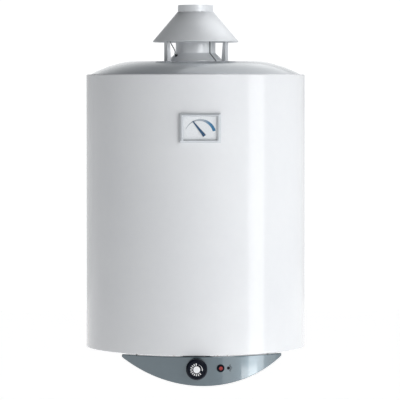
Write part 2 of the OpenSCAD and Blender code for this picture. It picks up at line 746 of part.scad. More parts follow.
module hood_legs() {
    color("silver") at_axis() for (a = LEG_TURNS) rotate([0, 0, a])
        if (a > 0 && a < 180) mirror([1, 0, 0]) hood_leg();
        else hood_leg();
}

module hood_skirt() {
    top_r = collar_r + 0.6;
    color("silver") at_axis() rotate_extrude() {
        polygon([[skirt_r - skirt_wall, skirt_z], [skirt_r, skirt_z], [top_r, skirt_top],
            [top_r - skirt_wall, skirt_top]]);
        translate([skirt_r - 1, skirt_z]) circle(r = 1.3, $fn = 24);
    }
}

module hood_collar() {
    neck = collar_r + 0.6 - skirt_wall - 0.3;
    color("silver") at_axis() rotate_extrude() polygon([
        [neck - sheet_t, skirt_top - 10], [neck, skirt_top - 10], [neck, skirt_top],
        [collar_r, skirt_top], [collar_r, collar_top], [collar_r - sheet_t, collar_top],
        [collar_r - sheet_t, skirt_top + 2], [neck - sheet_t, skirt_top + 2]]);
}

module spill_sensor() {
    color("gainsboro") at_axis() rotate([0, 0, LEG_TURNS[0]]) {
        translate([0, -sensor_r, skirt_z + 4]) cylinder(r = 6, h = 9);
        translate([-2, -leg_r + 0.05, skirt_z + 7]) cube([4, leg_r - sensor_r, 2]);
    }
}

module sensor_capillary() {
    a = LEG_TURNS[0];
    color([0.15, 0.16, 0.18]) at_axis() sweep(spline([
        polar(a, sensor_r, skirt_z + 4), polar(a, sensor_r + 1.5, skirt_z - 2),
        polar(a + 1, pipe_r + 16, skirt_z - 12), polar(a + 2, pipe_r + 11, cone_top + 4),
        polar(grommet_turn, pipe_r + 11, grommet_z + 3), polar(grommet_turn, pipe_r + 7, grommet_z)]), 1.1);
}

module sensor_grommet() {
    color([0.12, 0.12, 0.13]) at_axis() facing(grommet_turn, grommet_z, 0) difference() {
        translate([0, 0, pipe_r - 1]) cylinder(r = grommet_r, h = grommet_out + 1);
        translate([0, 0, pipe_r + 6.9]) cylinder(r = 1.5, h = 10);
    }
}

/* ---- Thermometer ---- */

// A block with bevelled front edges, from y = back to y = front before the heater's axis.
module bevel_block(w, h, back, front, bevel) {
    deep = front - back;
    translate([0, -back, therm_z]) intersection() {
        translate([0, 0, -h]) linear_extrude(2 * h) polygon([[-w / 2, 0], [w / 2, 0],
            [w / 2, bevel - deep], [w / 2 - bevel, -deep], [bevel - w / 2, -deep], [-w / 2, bevel - deep]]);
        rotate([90, 0, 90]) translate([0, 0, -w]) linear_extrude(2 * w) polygon([[0, -h / 2], [0, h / 2],
            [bevel - deep, h / 2], [-deep, h / 2 - bevel], [-deep, bevel - h / 2], [bevel - deep, -h / 2]]);
    }
}

module thermometer_frame() {
    color("gainsboro") at_axis() difference() {
        union() {
            difference() {
                bevel_block(therm_w, therm_h, body_r - 12, frame_front, 4);
                translate([0, 0, therm_z - therm_h]) cylinder(r = body_r + 0.1, h = 2 * therm_h, $fn = 180);
            }
            for (side = [-1, 1]) facing(side * frame_screw_turn, therm_z, body_r - 3)
                cylinder(r = 1.4, h = 5);
        }
        translate([-window_w / 2 - 2.5, -glass_y - 1.1, therm_z - window_h / 2 - 2.5])
            cube([window_w + 5, 20, window_h + 5]);
        translate([-window_w / 2, -frame_front - 1, therm_z - window_h / 2])
            cube([window_w, 20, window_h]);
    }
}

module thermometer_dial() {
    color("whitesmoke") at_axis() difference() {
        translate([-window_w / 2 - 2, -dial_r - 0.4, therm_z - window_h / 2 - 2])
            cube([window_w + 4, 1, window_h + 4]);
        on_dial(body_r - 2) cylinder(r = 1.4, h = 8);
    }
}

// Band that starts as a thin line on the cold side and swells towards the hot side.
module scale_arc() {
    reach = scale_r + 10;
    color("steelblue") at_axis() translate([scale_x - needle_x, 0, 0]) on_dial(dial_r + 0.4)
        linear_extrude(0.2) intersection() {
            difference() {
                circle(r = scale_r + 0.6);
                translate([-3.2, -0.6]) circle(r = scale_r - 3);
            }
            polygon([[0, 0], [reach * cos(scale_from), reach * sin(scale_from)],
                [reach, 2 * reach], [-reach, 2 * reach], [reach * cos(scale_to), reach * sin(scale_to)]]);
        }
}

module thermometer_needle() {
    tip = scale_r + 4.2;
    tail = 2.6;
    half = 2.9;
    color([0.1, 0.25, 0.4]) at_axis() on_dial(dial_r + 1.1) rotate([0, 0, needle_angle]) difference() {
        union() {
            linear_extrude(0.8) polygon([[-tail, -half], [0, -half], [tip, -0.8], [tip, 0.8],
                [0, half], [-tail, half]]);
            cylinder(r = 2.2, h = 1.7);
        }
        translate([0, 0, -1]) cylinder(r = needle_pin_r + run_fit, h = 2.3);
    }
}

// Bimetal stem in the tank's pocket, ending in the pin that carries the needle.
module thermometer_stem() {
    inner = tank_r - 20;
    color("gold") at_axis() on_dial(inner) {
        cylinder(r = 3, h = body_r - 0.4 - inner);
        cylinder(r = needle_pin_r, h = dial_r + 2.3 - inner);
    }
}

module thermometer_pocket() {
    inner = tank_r - 26;
    color("slategray") at_axis() on_dial(inner) difference() {
        cylinder(r = 5, h = 28);
        translate([0, 0, 3]) cylinder(r = 3.3, h = 40);
    }
}

module thermometer_window() {
    color([0.8, 0.9, 1, 0.3]) at_axis()
        translate([-window_w / 2 - 2.2, -glass_y - 1, therm_z - window_h / 2 - 2.2])
            cube([window_w + 4.4, 1, window_h + 4.4]);
}

outer_casing();
top_cover();
bottom_cover();
insulation_jacket();
top_insulation();
inner_tank();
flue_tube();
flue_baffle();
combustion_chamber();
burner_tray();
burner();
venturi();
injector();
burner_gas_pipe();
pilot_bracket();
pilot_burner();
pilot_pipe();
ignition_electrode();
ignition_lead();
thermocouple();
gas_valve();
valve_bracket();
gas_inlet();
push_sleeve();
valve_spindle();
control_knob();
knob_marks();
control_panel();
panel_screws();
spark_symbol();
piezo_igniter();
igniter_nut();
piezo_button();
button_spring();
thermostat_bulb();
cold_inlet();
hot_outlet();
cold_ring();
hot_ring();
anode_rod();
anode_flange();
anode_gasket();
wall_bracket_upper();
wall_bracket_lower();
bracket_screws();
flue_pipe();
hood_legs();
hood_skirt();
hood_collar();
spill_sensor();
sensor_capillary();
sensor_grommet();
thermometer_frame();
thermometer_dial();
scale_arc();
thermometer_needle();
thermometer_stem();
thermometer_pocket();
thermometer_window();
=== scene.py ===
"""Looks of a wall-hung gas storage water heater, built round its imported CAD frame.

Every shape is a surface of two parameters: a profile turned round an axis, a section carried
along a path, or a grid bent over the casing. Shapes are worked out in millimetres on the heater's
own axes, with z = 0 at the casing's lower edge, and on_axis turns them into the frame's metres.
"""

import math

import bmesh
import bpy
import numpy as np
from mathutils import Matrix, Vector


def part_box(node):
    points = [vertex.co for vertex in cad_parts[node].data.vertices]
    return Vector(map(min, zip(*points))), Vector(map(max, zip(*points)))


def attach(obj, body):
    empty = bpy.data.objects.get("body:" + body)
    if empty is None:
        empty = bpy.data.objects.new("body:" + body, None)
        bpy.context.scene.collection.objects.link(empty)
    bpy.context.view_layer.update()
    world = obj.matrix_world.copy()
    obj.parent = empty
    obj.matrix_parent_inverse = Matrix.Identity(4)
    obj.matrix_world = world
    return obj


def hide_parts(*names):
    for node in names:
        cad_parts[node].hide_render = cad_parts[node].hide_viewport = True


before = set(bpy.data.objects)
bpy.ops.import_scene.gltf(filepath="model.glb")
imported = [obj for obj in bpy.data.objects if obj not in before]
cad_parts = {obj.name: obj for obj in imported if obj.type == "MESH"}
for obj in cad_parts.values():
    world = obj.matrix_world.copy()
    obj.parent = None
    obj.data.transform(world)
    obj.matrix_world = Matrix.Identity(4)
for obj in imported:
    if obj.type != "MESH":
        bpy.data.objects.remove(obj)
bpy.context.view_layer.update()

MM = 0.001
TAU = 2 * math.pi

# ---- places taken from the frame

shell_low, shell_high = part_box("outer_casing")
AXIS = np.array([0.0, (shell_low.y + shell_high.y) / 2, shell_low.z])


def on_axis(points):
    """Points in millimetres on the heater's own axes, in the frame's metres."""
    return np.asarray(points, float) * MM + AXIS


def local_box(name):
    """A node's lowest and highest corners, in millimetres on the heater's own axes."""
    return [(np.array(corner) - AXIS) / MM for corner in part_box(name)]


def half_width(name, way):
    """Half of a node's width in millimetres, across (way 0) or from front to back (way 1)."""
    low, high = local_box(name)
    return (high[way] - low[way]) / 2


def facing(points, turn, z, reach):
    """Places local points (x right, y up, z outwards) on the front: turned by an angle about the
    heater's axis, at height z and distance reach from the axis."""
    p = np.asarray(points, float)
    out, right = p[..., 2] + reach, p[..., 0]
    s, c = math.sin(turn), math.cos(turn)
    moved = np.stack([right * c + out * s, right * s - out * c, p[..., 1] + z], -1)
    return on_axis(moved)


BODY_R = half_width("outer_casing", 1)
CASE_H = local_box("outer_casing")[1][2]
COVER_R = half_width("top_cover", 1)
DOME_H = local_box("top_cover")[1][2]
CONE_R = half_width("flue_pipe", 0)
PIPE_TOP = local_box("flue_pipe")[1][2]
SKIRT_R = half_width("hood_skirt", 0)
SKIRT_TOP = local_box("hood_skirt")[1][2]
COLLAR_R = half_width("hood_collar", 0)
COLLAR_TOP = local_box("hood_collar")[1][2]
PANEL_LOW = local_box("control_panel")[0][2]
PANEL_R = BODY_R - 0.7
PANEL_TURN = math.radians(2.3)
PANEL_HALF = 177
PANEL_ARC = 300
KNOB_TURN = math.radians(-1.74)
KNOB_Z = -28
BUTTON_TURN = math.radians(10.5)
BUTTON_Z = -27.6
SIGN_TURN = BUTTON_TURN + math.radians(4.2)
FLUE_R = 45
CONE_TOP = DOME_H + 19
SKIRT_H = DOME_H + 45
SEAM_TURN = math.radians(40)
LEG_R = 78
LEG_TURNS = [math.radians(a) for a in (-60, 60, 180)]
GROMMET_TURN = -58
GROMMET_H = DOME_H + 12.8
SHEET = 1


# ---- meshes from arrays

def make_mesh(name, points, faces, smooth=True):
    """A mesh object from an (n, 3) array and a list of faces."""
    mesh = bpy.data.meshes.new(name)
    mesh.from_pydata(np.asarray(points, float).reshape(-1, 3).tolist(), [], faces)
    mesh.validate()
    mesh.update()
    mesh.polygons.foreach_set("use_smooth", [smooth] * len(mesh.polygons))
    piece = bpy.data.objects.new(name, mesh)
    bpy.context.scene.collection.objects.link(piece)
    return piece


def grid_faces(rows, cols, wrap_rows=False, wrap_cols=False, start=0):
    """Quads of a rows by cols grid of points, wrapped where the surface closes on itself."""
    i = np.arange(rows if wrap_rows else rows - 1)[:, None]
    j = np.arange(cols if wrap_cols else cols - 1)[None, :]
    i2, j2 = (i + 1) % rows, (j + 1) % cols
    quads = np.stack([i * cols + j, i * cols + j2, i2 * cols + j2, i2 * cols + j], -1)
    return (quads.reshape(-1, 4) + start).tolist()


def capped_faces(rows, cols):
    """Quads of a tube of rings, with one face over each end."""
    first = list(range(cols))
    return grid_faces(rows, cols, False, True) + [first[::-1], [(rows - 1) * cols + i for i in first]]


def outward(piece):
    """Merges a closed mesh's doubled points and turns its faces outwards."""
    work = bmesh.new()
    work.from_mesh(piece.data)
    bmesh.ops.remove_doubles(work, verts=work.verts, dist=1e-6)
    bmesh.ops.recalc_face_normals(work, faces=work.faces)
    work.to_mesh(piece.data)
    work.free()
    piece.data.update()
    return piece


def join(name, parts):
    """One object from several, their meshes laid side by side."""
    bpy.ops.object.select_all(action="DESELECT")
    for part in parts:
        part.select_set(True)
    bpy.context.view_layer.objects.active = parts[0]
    bpy.ops.object.join()
    whole = bpy.context.view_layer.objects.active
    whole.name = name
    whole.data.name = name
    whole.select_set(False)
    return whole


def rounded(corners, radii, steps=5, guard=0.35, closed=False):
    """A profile whose corners are arcs: each corner's arc touches both of its sides, and a guard
    point beyond each end of the arc keeps the shading of the flats flat."""
    corners = [np.asarray(c, float) for c in corners]
    n = len(corners)
    out = []
    for i, corner in enumerate(corners):
        radius = radii[i] if hasattr(radii, "__len__") else radii
        if radius <= 0 or (not closed and i in (0, n - 1)):
            out.append(corner)
            continue
        to_last = corners[i - 1] - corner
        to_next = corners[(i + 1) % n] - corner
        len_a, len_b = np.linalg.norm(to_last), np.linalg.norm(to_next)
        a, b = to_last / len_a, to_next / len_b
        half = math.acos(max(-1, min(1, float(a @ b)))) / 2
        reach = min(radius / math.tan(half), 0.45 * len_a, 0.45 * len_b)
        radius = reach * math.tan(half)
        centre = corner + (a + b) / np.linalg.norm(a + b) * radius / math.sin(half)
        v0, v1 = corner + a * reach - centre, corner + b * reach - centre
        sweep = math.acos(max(-1, min(1, float(v0 @ v1) / radius ** 2)))
        if guard:
            out.append(corner + a * min(reach + guard, 0.49 * len_a))
        for k in range(steps + 1):
            t = k / steps
            out.append(centre + (math.sin((1 - t) * sweep) * v0 + math.sin(t * sweep) * v1)
                       / math.sin(sweep))
        if guard:
            out.append(corner + b * min(reach + guard, 0.49 * len_b))
    return np.array(out)


def turned_piece(name, profile, turns=96, closed=True, angles=None, ripple=None, place=None):
    """A profile of (radius, height) points turned round an axis: point (a, s) of the surface is
    (r(s) sin a, -r(s) cos a, z(s)), with ripple(a, r, z) added to the radius."""
    profile = np.asarray(profile, float)
    a = np.linspace(0, TAU, turns, endpoint=False) if angles is None else np.asarray(angles)
    r, z = profile[None, :, 0], profile[None, :, 1]
    if ripple is not None:
        r = r + ripple(a[:, None], r, z)
    pts = np.stack([r * np.sin(a)[:, None], -r * np.cos(a)[:, None],
                    np.broadcast_to(z, (len(a), profile.shape[0]))], -1)
    pts = on_axis(pts) if place is None else place(pts)
    faces = grid_faces(len(a), len(profile), True, closed)
    return outward(make_mesh(name, pts, faces))


def angle_steps(count, *fine):
    """Angles round the circle with extra ones packed round each (centre, half width)."""
    a = [np.linspace(0, TAU, count, endpoint=False)]
    for centre, half in fine:
        a.append(np.linspace(centre - half, centre + half, 41) % TAU)
    return np.unique(np.round(np.concatenate(a), 7))


def button_piece(name, profile, turn, z, reach, turns=96, ripple=None, closed=False):
    """A profile turned round an axis that points out of the front at the given place."""
    def place(pts):
        return facing(pts, turn, z, reach)
    return turned_piece(name, profile, turns, closed, ripple=ripple, place=place)


def tube_piece(name, path, radius, sides=16, steps=8):
    """A round tube: circles of one radius carried along a smooth curve through the path's points,
    in a frame turned as little as possible from ring to ring. The curve is a cubic between two
    points whose headings there are those of the chord between their neighbours."""
    p = np.asarray(path, float)
    head = np.vstack([p[1] - p[0], p[2:] - p[:-2], p[-1] - p[-2]])
    head /= np.linalg.norm(head, axis=1)[:, None]
    curve = []
    t = np.linspace(0, 1, steps, endpoint=False)[:, None]
    for i in range(len(p) - 1):
        span = np.linalg.norm(p[i + 1] - p[i])
        curve.append((2 * t ** 3 - 3 * t ** 2 + 1) * p[i] + (t ** 3 - 2 * t ** 2 + t) * head[i] * span
                     + (3 * t ** 2 - 2 * t ** 3) * p[i + 1] + (t ** 3 - t ** 2) * head[i + 1] * span)
    curve = np.vstack(curve + [p[-1:]])
    tangent = np.gradient(curve, axis=0)
    tangent /= np.linalg.norm(tangent, axis=1)[:, None]
    normal = np.cross(tangent[0], [0.3, 0.9, 0.2])
    rings = []
    k = np.linspace(0, TAU, sides, endpoint=False)[:, None]
    for point, t in zip(curve, tangent):
        normal = normal - t * (normal @ t)
        normal /= np.linalg.norm(normal)
        rings.append(point + radius * (np.cos(k) * normal + np.sin(k) * np.cross(t, normal)))
    n = len(curve)
    return outward(make_mesh(name, on_axis(np.vstack(rings)), capped_faces(n, sides)))


def circle(radius, sides):
    """Points of a circle round the local origin."""
    k = np.linspace(0, TAU, sides, endpoint=False)
    return np.column_stack([radius * np.cos(k), radius * np.sin(k)])


def spun(outline, angle):
    """A flat outline turned about the local origin."""
    c, s = math.cos(angle), math.sin(angle)
    return [(x * c - y * s, x * s + y * c) for x, y in outline]


def plate_piece(name, outline, thickness, place, bevel=0.25):
    """A flat outline given a thickness: the outline's ring is carried up the plate's edge with a
    rounded rim, drawn in by the bevel at both faces. place maps local points to the frame."""
    o = np.asarray(outline, float)
    area = 0.5 * np.sum(o[:, 0] * np.roll(o[:, 1], -1) - np.roll(o[:, 0], -1) * o[:, 1])
    if area < 0:
        o = o[::-1]
    ahead, behind = np.roll(o, -1, 0) - o, o - np.roll(o, 1, 0)
    ahead /= np.linalg.norm(ahead, axis=1)[:, None]
    behind /= np.linalg.norm(behind, axis=1)[:, None]
    inward = np.stack([-(ahead + behind)[:, 1], (ahead + behind)[:, 0]], 1)
    inward /= np.maximum(np.linalg.norm(inward, axis=1)[:, None], 1e-9)
    levels = [(bevel, 0.0), (0.3 * bevel, 0.3 * bevel), (0.0, bevel), (0.0, thickness - bevel),
              (0.3 * bevel, thickness - 0.3 * bevel), (bevel, thickness)]
    rings = [np.column_stack([o + inward * d, np.full(len(o), h)]) for d, h in levels]
    piece = make_mesh(name, place(np.vstack(rings)), capped_faces(len(levels), len(o)))
    piece.data.polygons.foreach_set("use_smooth", [False] * len(piece.data.polygons))
    return outward(piece)


# ---- shader helpers

def node(tree, kind, **settings):
    """A shader node; settings are attributes, or input values where the name is an input."""
    made = tree.nodes.new("ShaderNode" + kind)
    for key, value in settings.items():
        if hasattr(made, key):
            setattr(made, key, value)
        else:
            made.inputs[key.replace("_", " ")].default_value = value
    return made


def feed(tree, socket, value):
    """Links a socket to another node's output, or sets it to a plain value."""
    if isinstance(value, bpy.types.NodeSocket):
        tree.links.new(value, socket)
    else:
        socket.default_value = value


def maths(tree, operation, *values):
    """The outcome of a Math node; each value is a number or another node's output."""
    made = node(tree, "Math", operation=operation)
    for socket, value in zip(made.inputs, values):
        feed(tree, socket, value)
    return made.outputs[0]


def noise(tree, vector, scale, detail=2.0, roughness=0.5):
    """The level of a noise pattern of the given scale."""
    made = node(tree, "TexNoise", Detail=detail, Roughness=roughness)
    tree.links.new(vector, made.inputs["Vector"])
    feed(tree, made.inputs["Scale"], scale)
    return made.outputs["Fac"]


def blend(tree, value, low, high, at_low, at_high, curve="SMOOTHSTEP"):
    """Goes from one level to another as a value goes from low to high, smoothly or in a line."""
    step = node(tree, "MapRange", interpolation_type=curve)
    tree.links.new(value, step.inputs["Value"])
    for label, level in (("From Min", low), ("From Max", high), ("To Min", at_low), ("To Max", at_high)):
        feed(tree, step.inputs[label], level)
    return step.outputs["Result"]


def mix_colours(tree, factor, one, other, kind="MIX"):
    """Two colours mixed by a factor."""
    mix = node(tree, "Mix", data_type="RGBA", blend_type=kind)
    for socket, value in ((0, factor), (6, one), (7, other)):
        feed(tree, mix.inputs[socket], value)
    return mix.outputs[2]


def axes(tree, vector):
    """The x, y and z of a vector."""
    split = node(tree, "SeparateXYZ")
    tree.links.new(vector, split.inputs[0])
    return list(split.outputs)


def object_coords(tree, scale=(1, 1, 1)):
    """Object coordinates, stretched by a Mapping node."""
    mapping = node(tree, "Mapping", Scale=scale)
    tree.links.new(node(tree, "TexCoord").outputs["Object"], mapping.inputs["Vector"])
    return mapping.outputs["Vector"]


def bump(tree, shader, height, depth):
    """Tilts a shader's normal by a height pattern of the given depth in millimetres."""
    made = node(tree, "Bump", Strength=1.0, Distance=depth * MM)
    tree.links.new(height, made.inputs["Height"])
    tree.links.new(made.outputs["Normal"], shader.inputs["Normal"])


def new_material(name):
    """An empty Principled material; returns it with its tree and its shader."""
    mat = bpy.data.materials.new(name)
    mat.use_nodes = True
    tree = mat.node_tree
    return mat, tree, tree.nodes["Principled BSDF"]


FLOAT, COLOUR, VECTOR = "NodeSocketFloat", "NodeSocketColor", "NodeSocketVector"


def make_group(name, inputs, output, kind, build):
    """A node group with a Vector, named inputs and one output, filled in by build(tree, i, o)."""
    group = bpy.data.node_groups.new(name, "ShaderNodeTree")
    group.interface.new_socket(name="Vector", in_out="INPUT", socket_type=VECTOR)
    for label, value in inputs:
        sort = COLOUR if isinstance(value, tuple) else FLOAT
        socket = group.interface.new_socket(name=label, in_out="INPUT", socket_type=sort)
        socket.default_value = value
    group.interface.new_socket(name=output, in_out="OUTPUT", socket_type=kind)
    build(group, group.nodes.new("NodeGroupInput").outputs, group.nodes.new("NodeGroupOutput").inputs)
    return group


def use_group(tree, group, vector, **values):
    """Places a group in a material with its own values and returns what it puts out."""
    made = tree.nodes.new("ShaderNodeGroup")
    made.node_tree = group
    for key, value in values.items():
        made.inputs[key.replace("_", " ")].default_value = value
    tree.links.new(vector, made.inputs["Vector"])
    return made.outputs[0]


def build_tint(group, given, out):
    """Two colours mixed by broad and fine noise: what a large painted surface shows up close."""
    broad = noise(group, given["Vector"], given["Scale"], 3.0, 0.55)
    fine = noise(group, given["Vector"], maths(group, "MULTIPLY", given["Scale"], 14.0))
    total = maths(group, "MULTIPLY_ADD", fine, 0.3, broad)
    mask = blend(group, total, 0.45, 0.85, 0.0, 1.0, "LINEAR")
    group.links.new(mix_colours(group, mask, given["Colour"], given["Second"]), out["Colour"])


def build_peel(group, given, out):
    """Height of sprayed or stoved paint: soft orange-peel cells with a slow waviness under them."""
    cells = noise(group, given["Vector"], given["Scale"], 1.0, 0.4)
    waves = noise(group, given["Vector"], maths(group, "MULTIPLY", given["Scale"], 0.12), 1.0, 0.4)
    group.links.new(maths(group, "MULTIPLY_ADD", waves, given["Waviness"], cells), out["Height"])


def build_wear(group, given, out):
    """Smudges and fine scratches: a mask that lifts roughness in soft patches and thin lines."""
    smudge = noise(group, given["Vector"], 9.0, 4.0, 0.6)
    stretch = node(group, "Mapping", Scale=(1.0, 1.0, 0.05))
    group.links.new(given["Vector"], stretch.inputs["Vector"])
    lines = noise(group, stretch.outputs["Vector"], given["Line Scale"])
    total = maths(group, "ADD", blend(group, lines, 0.66, 0.8, 0.0, 0.25, "LINEAR"), smudge)
    level = blend(group, total, 0.3, 1.1, given["Smooth"], given["Rough"], "LINEAR")
    group.links.new(level, out["Roughness"])


TINT = make_group("paint_tint", [("Scale", 6.0), ("Colour", (0.8, 0.8, 0.8, 1)),
                                 ("Second", (0.7, 0.7, 0.7, 1))], "Colour", COLOUR, build_tint)
PEEL = make_group("orange_peel", [("Scale", 500.0), ("Waviness", 1.0)], "Height", FLOAT, build_peel)
WEAR = make_group("smudge_and_scratch", [("Line Scale", 260.0), ("Smooth", 0.2), ("Rough", 0.35)],
                  "Roughness", FLOAT, build_wear)


def painted(name, colour, second, smooth, rough, peel=500.0, depth=0.02, coat=0.0,
            metallic=0.0, tint_scale=5.0, waviness=1.0, specular=0.5, coat_ior=1.5):
    """Paint, enamel or moulded plastic: a tint, an orange-peel bump and smudged roughness."""
    mat, tree, shader = new_material(name)
    vector = object_coords(tree)
    tint = use_group(tree, TINT, vector, Scale=tint_scale, Colour=(*colour, 1), Second=(*second, 1))
    wear = use_group(tree, WEAR, vector, Smooth=smooth, Rough=rough)
    bump(tree, shader, use_group(tree, PEEL, vector, Scale=peel, Waviness=waviness), depth)
    tree.links.new(tint, shader.inputs["Base Color"])
    tree.links.new(wear, shader.inputs["Roughness"])
    shader.inputs["Metallic"].default_value = metallic
    shader.inputs["Specular IOR Level"].default_value = specular
    if coat:
        shader.inputs["Coat Weight"].default_value = coat
        shader.inputs["Coat Roughness"].default_value = 0.05
        shader.inputs["Coat IOR"].default_value = coat_ior
    return mat


def drawn_metal(name, colour, second, smooth, rough, grain=(60, 60, 900), depth=0.01, spangle=0.0):
    """Bare or plated metal: stretched grain for drawing and turning marks, with a crystal
    spangle in the tint where the metal is galvanised."""
    mat, tree, shader = new_material(name)
    lines = noise(tree, object_coords(tree, grain), 1.0, 3.0, 0.6)
    base = use_group(tree, TINT, object_coords(tree), Scale=20.0, Colour=(*colour, 1),
                     Second=(*second, 1))
    if spangle:
        crystals = node(tree, "TexVoronoi", Scale=160.0)
        tree.links.new(object_coords(tree), crystals.inputs["Vector"])
        grey = node(tree, "RGBToBW")
        tree.links.new(crystals.outputs["Color"], grey.inputs[0])
        level = blend(tree, grey.outputs[0], 0, 1, 1 - spangle, 1 + 0.3 * spangle, "LINEAR")
        base = mix_colours(tree, 1.0, base, level, "MULTIPLY")
    bump(tree, shader, lines, depth)
    tree.links.new(base, shader.inputs["Base Color"])
    tree.links.new(blend(tree, lines, 0, 1, smooth, rough, "LINEAR"), shader.inputs["Roughness"])
    shader.inputs["Metallic"].default_value = 1.0
    return mat


def darken(material, mask, colour):
    """Mixes a colour into a material's base colour where mask(tree) is one."""
    tree = material.node_tree
    base = tree.nodes["Principled BSDF"].inputs["Base Color"]
    tree.links.new(mix_colours(tree, mask(tree), base.links[0].from_socket, colour), base)


def dress(piece, material):
    """Puts one material in every slot of a piece."""
    piece.data.materials.clear()
    piece.data.materials.append(material)
    return piece


def finish_piece(piece, material, nodes=(), body="heater"):
    """Dresses a new piece, hides the frame's nodes that it replaces, and lets it ride on its body."""
    dress(piece, material)
    if nodes:
        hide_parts(*nodes)
    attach(piece, body)
    return piece


# ---- finishes

WHITE_ENAMEL = painted("white_stove_enamel", (0.735, 0.75, 0.77), (0.705, 0.72, 0.745), 0.16, 0.21,
                       peel=650.0, depth=0.006, coat=0.35, waviness=2.0)
GREY_ENAMEL = painted("grey_cover_enamel", (0.52, 0.555, 0.59), (0.48, 0.515, 0.55), 0.16, 0.22,
                      peel=900.0, depth=0.006, coat=0.3, metallic=0.3)
HOOD_COAT = painted("hood_aluminised_coat", (0.80, 0.825, 0.85), (0.74, 0.765, 0.795), 0.4, 0.46,
                    peel=1200.0, depth=0.006, metallic=0.2)
# Painted light: the pipe wears the hood's aluminised coat with a brighter base colour, making up for the
# shade under the skirt.
LIT_PIPE_COAT = painted("pipe_coat_with_painted_light", (0.90, 0.925, 0.95), (0.84, 0.865, 0.895), 0.3, 0.38,
                    peel=1200.0, depth=0.006, metallic=0.15)
PANEL_SILVER = painted("silver_blue_panel", (0.112, 0.156, 0.183), (0.10, 0.141, 0.167), 0.24, 0.3,
                       peel=2400.0, depth=0.004, metallic=0.55, coat=1.0, coat_ior=1.7)
BLACK_GLOSS = painted("black_knob_plastic", (0.004, 0.006, 0.012), (0.008, 0.010, 0.018), 0.16, 0.28,
                      peel=1500.0, depth=0.004, specular=0.12)
WHITE_PRINT = painted("white_ink", (0.84, 0.85, 0.86), (0.78, 0.79, 0.81), 0.4, 0.5, peel=3000.0)
BLACK_PRINT = painted("black_ink", (0.004, 0.005, 0.007), (0.008, 0.009, 0.012), 0.4, 0.5, peel=3000.0,
                      specular=0.05)
RED_PLASTIC = painted("red_button_plastic", (0.27, 0.022, 0.022), (0.21, 0.014, 0.016), 0.14, 0.26,
                      peel=1800.0, depth=0.004)
BLUE_PLASTIC = painted("blue_ring_plastic", (0.03, 0.12, 0.42), (0.025, 0.09, 0.34), 0.2, 0.34)
FRAME_PLASTIC = painted("grey_frame_plastic", (0.55, 0.58, 0.61), (0.52, 0.55, 0.58), 0.2, 0.3,
                        peel=2500.0, depth=0.004)
DIAL_PLATE = painted("dial_plate_print", (0.75, 0.775, 0.80), (0.71, 0.735, 0.76), 0.45, 0.55,
                     peel=3500.0, depth=0.003)
NEEDLE_BLUE = painted("needle_paint", (0.012, 0.065, 0.15), (0.018, 0.078, 0.175), 0.3, 0.4, peel=3000.0,
                      specular=0.3)
RUBBER = painted("moulded_rubber", (0.015, 0.016, 0.018), (0.03, 0.031, 0.034), 0.55, 0.75,
                 peel=1800.0, depth=0.02)
CAPILLARY = painted("dark_capillary_coat", (0.05, 0.055, 0.065), (0.09, 0.095, 0.105), 0.35, 0.5,
                    peel=2500.0, depth=0.01, metallic=0.5)
SILICONE = painted("red_silicone_sleeve", (0.30, 0.03, 0.025), (0.22, 0.02, 0.02), 0.4, 0.6)
TANK_ENAMEL = painted("tank_vitreous_enamel", (0.02, 0.035, 0.09), (0.03, 0.05, 0.12), 0.12, 0.25,
                      peel=220.0, depth=0.05, coat=0.5)
CERAMIC = painted("electrode_ceramic", (0.78, 0.75, 0.68), (0.68, 0.65, 0.58), 0.12, 0.25, peel=900.0)
FOAM = painted("insulation_foam", (0.66, 0.55, 0.24), (0.52, 0.41, 0.15), 0.85, 0.98,
               peel=260.0, depth=0.9, tint_scale=30.0)
GALVANISED = drawn_metal("galvanised_sheet", (0.50, 0.52, 0.54), (0.42, 0.44, 0.46), 0.32, 0.5,
                         spangle=0.3)
ZINC = drawn_metal("zinc_plated_steel", (0.58, 0.58, 0.57), (0.48, 0.48, 0.47), 0.22, 0.4,
                   grain=(900, 900, 90))
HEAT_STEEL = drawn_metal("heat_tinted_steel", (0.30, 0.27, 0.25), (0.17, 0.13, 0.13), 0.35, 0.6)
BRASS = drawn_metal("turned_brass", (0.62, 0.44, 0.17), (0.5, 0.33, 0.11), 0.2, 0.36,
                    grain=(80, 80, 1600))
COPPER = drawn_metal("drawn_copper", (0.6, 0.26, 0.14), (0.4, 0.17, 0.1), 0.25, 0.45)
PLATED_TUBE = drawn_metal("plated_steel_tube", (0.55, 0.56, 0.57), (0.44, 0.45, 0.46), 0.2, 0.36,
                          grain=(70, 70, 1200))
DIE_CAST = drawn_metal("die_cast_aluminium", (0.52, 0.53, 0.54), (0.42, 0.43, 0.44), 0.38, 0.55,
                       grain=(500, 500, 500), depth=0.03)
MAGNESIUM = drawn_metal("cast_magnesium", (0.42, 0.42, 0.40), (0.3, 0.3, 0.29), 0.5, 0.7,
                        grain=(300, 300, 120), depth=0.06)


def scale_ink():
    """The scale's ink: grey at the cold end, turning to blue along the arc towards the hot end,
    by how far right of the dial's middle each point is."""
    mat, tree, shader = new_material("scale_ink")
    hot = blend(tree, axes(tree, object_coords(tree))[0], 2 * MM, 26 * MM, 0.0, 1.0)
    wear = use_group(tree, WEAR, object_coords(tree), Smooth=0.4, Rough=0.5)
    tree.links.new(mix_colours(tree, hot, (0.36, 0.40, 0.44, 1), (0.02, 0.16, 0.32, 1)),
                   shader.inputs["Base Color"])
    tree.links.new(wear, shader.inputs["Roughness"])
    return mat


def window_plastic():
    """Clear window: nearly invisible face on, with a faint gloss and fine wiping marks."""
    mat, tree, shader = new_material("clear_window_plastic")
    wear = use_group(tree, WEAR, object_coords(tree), Smooth=0.02, Rough=0.09, Line_Scale=300.0)
    tree.links.new(wear, shader.inputs["Roughness"])
    tree.links.new(blend(tree, wear, 0, 1, 0.01, 0.04, "LINEAR"), shader.inputs["Alpha"])
    shader.inputs["Base Color"].default_value = (0.96, 0.98, 1, 1)
    return mat


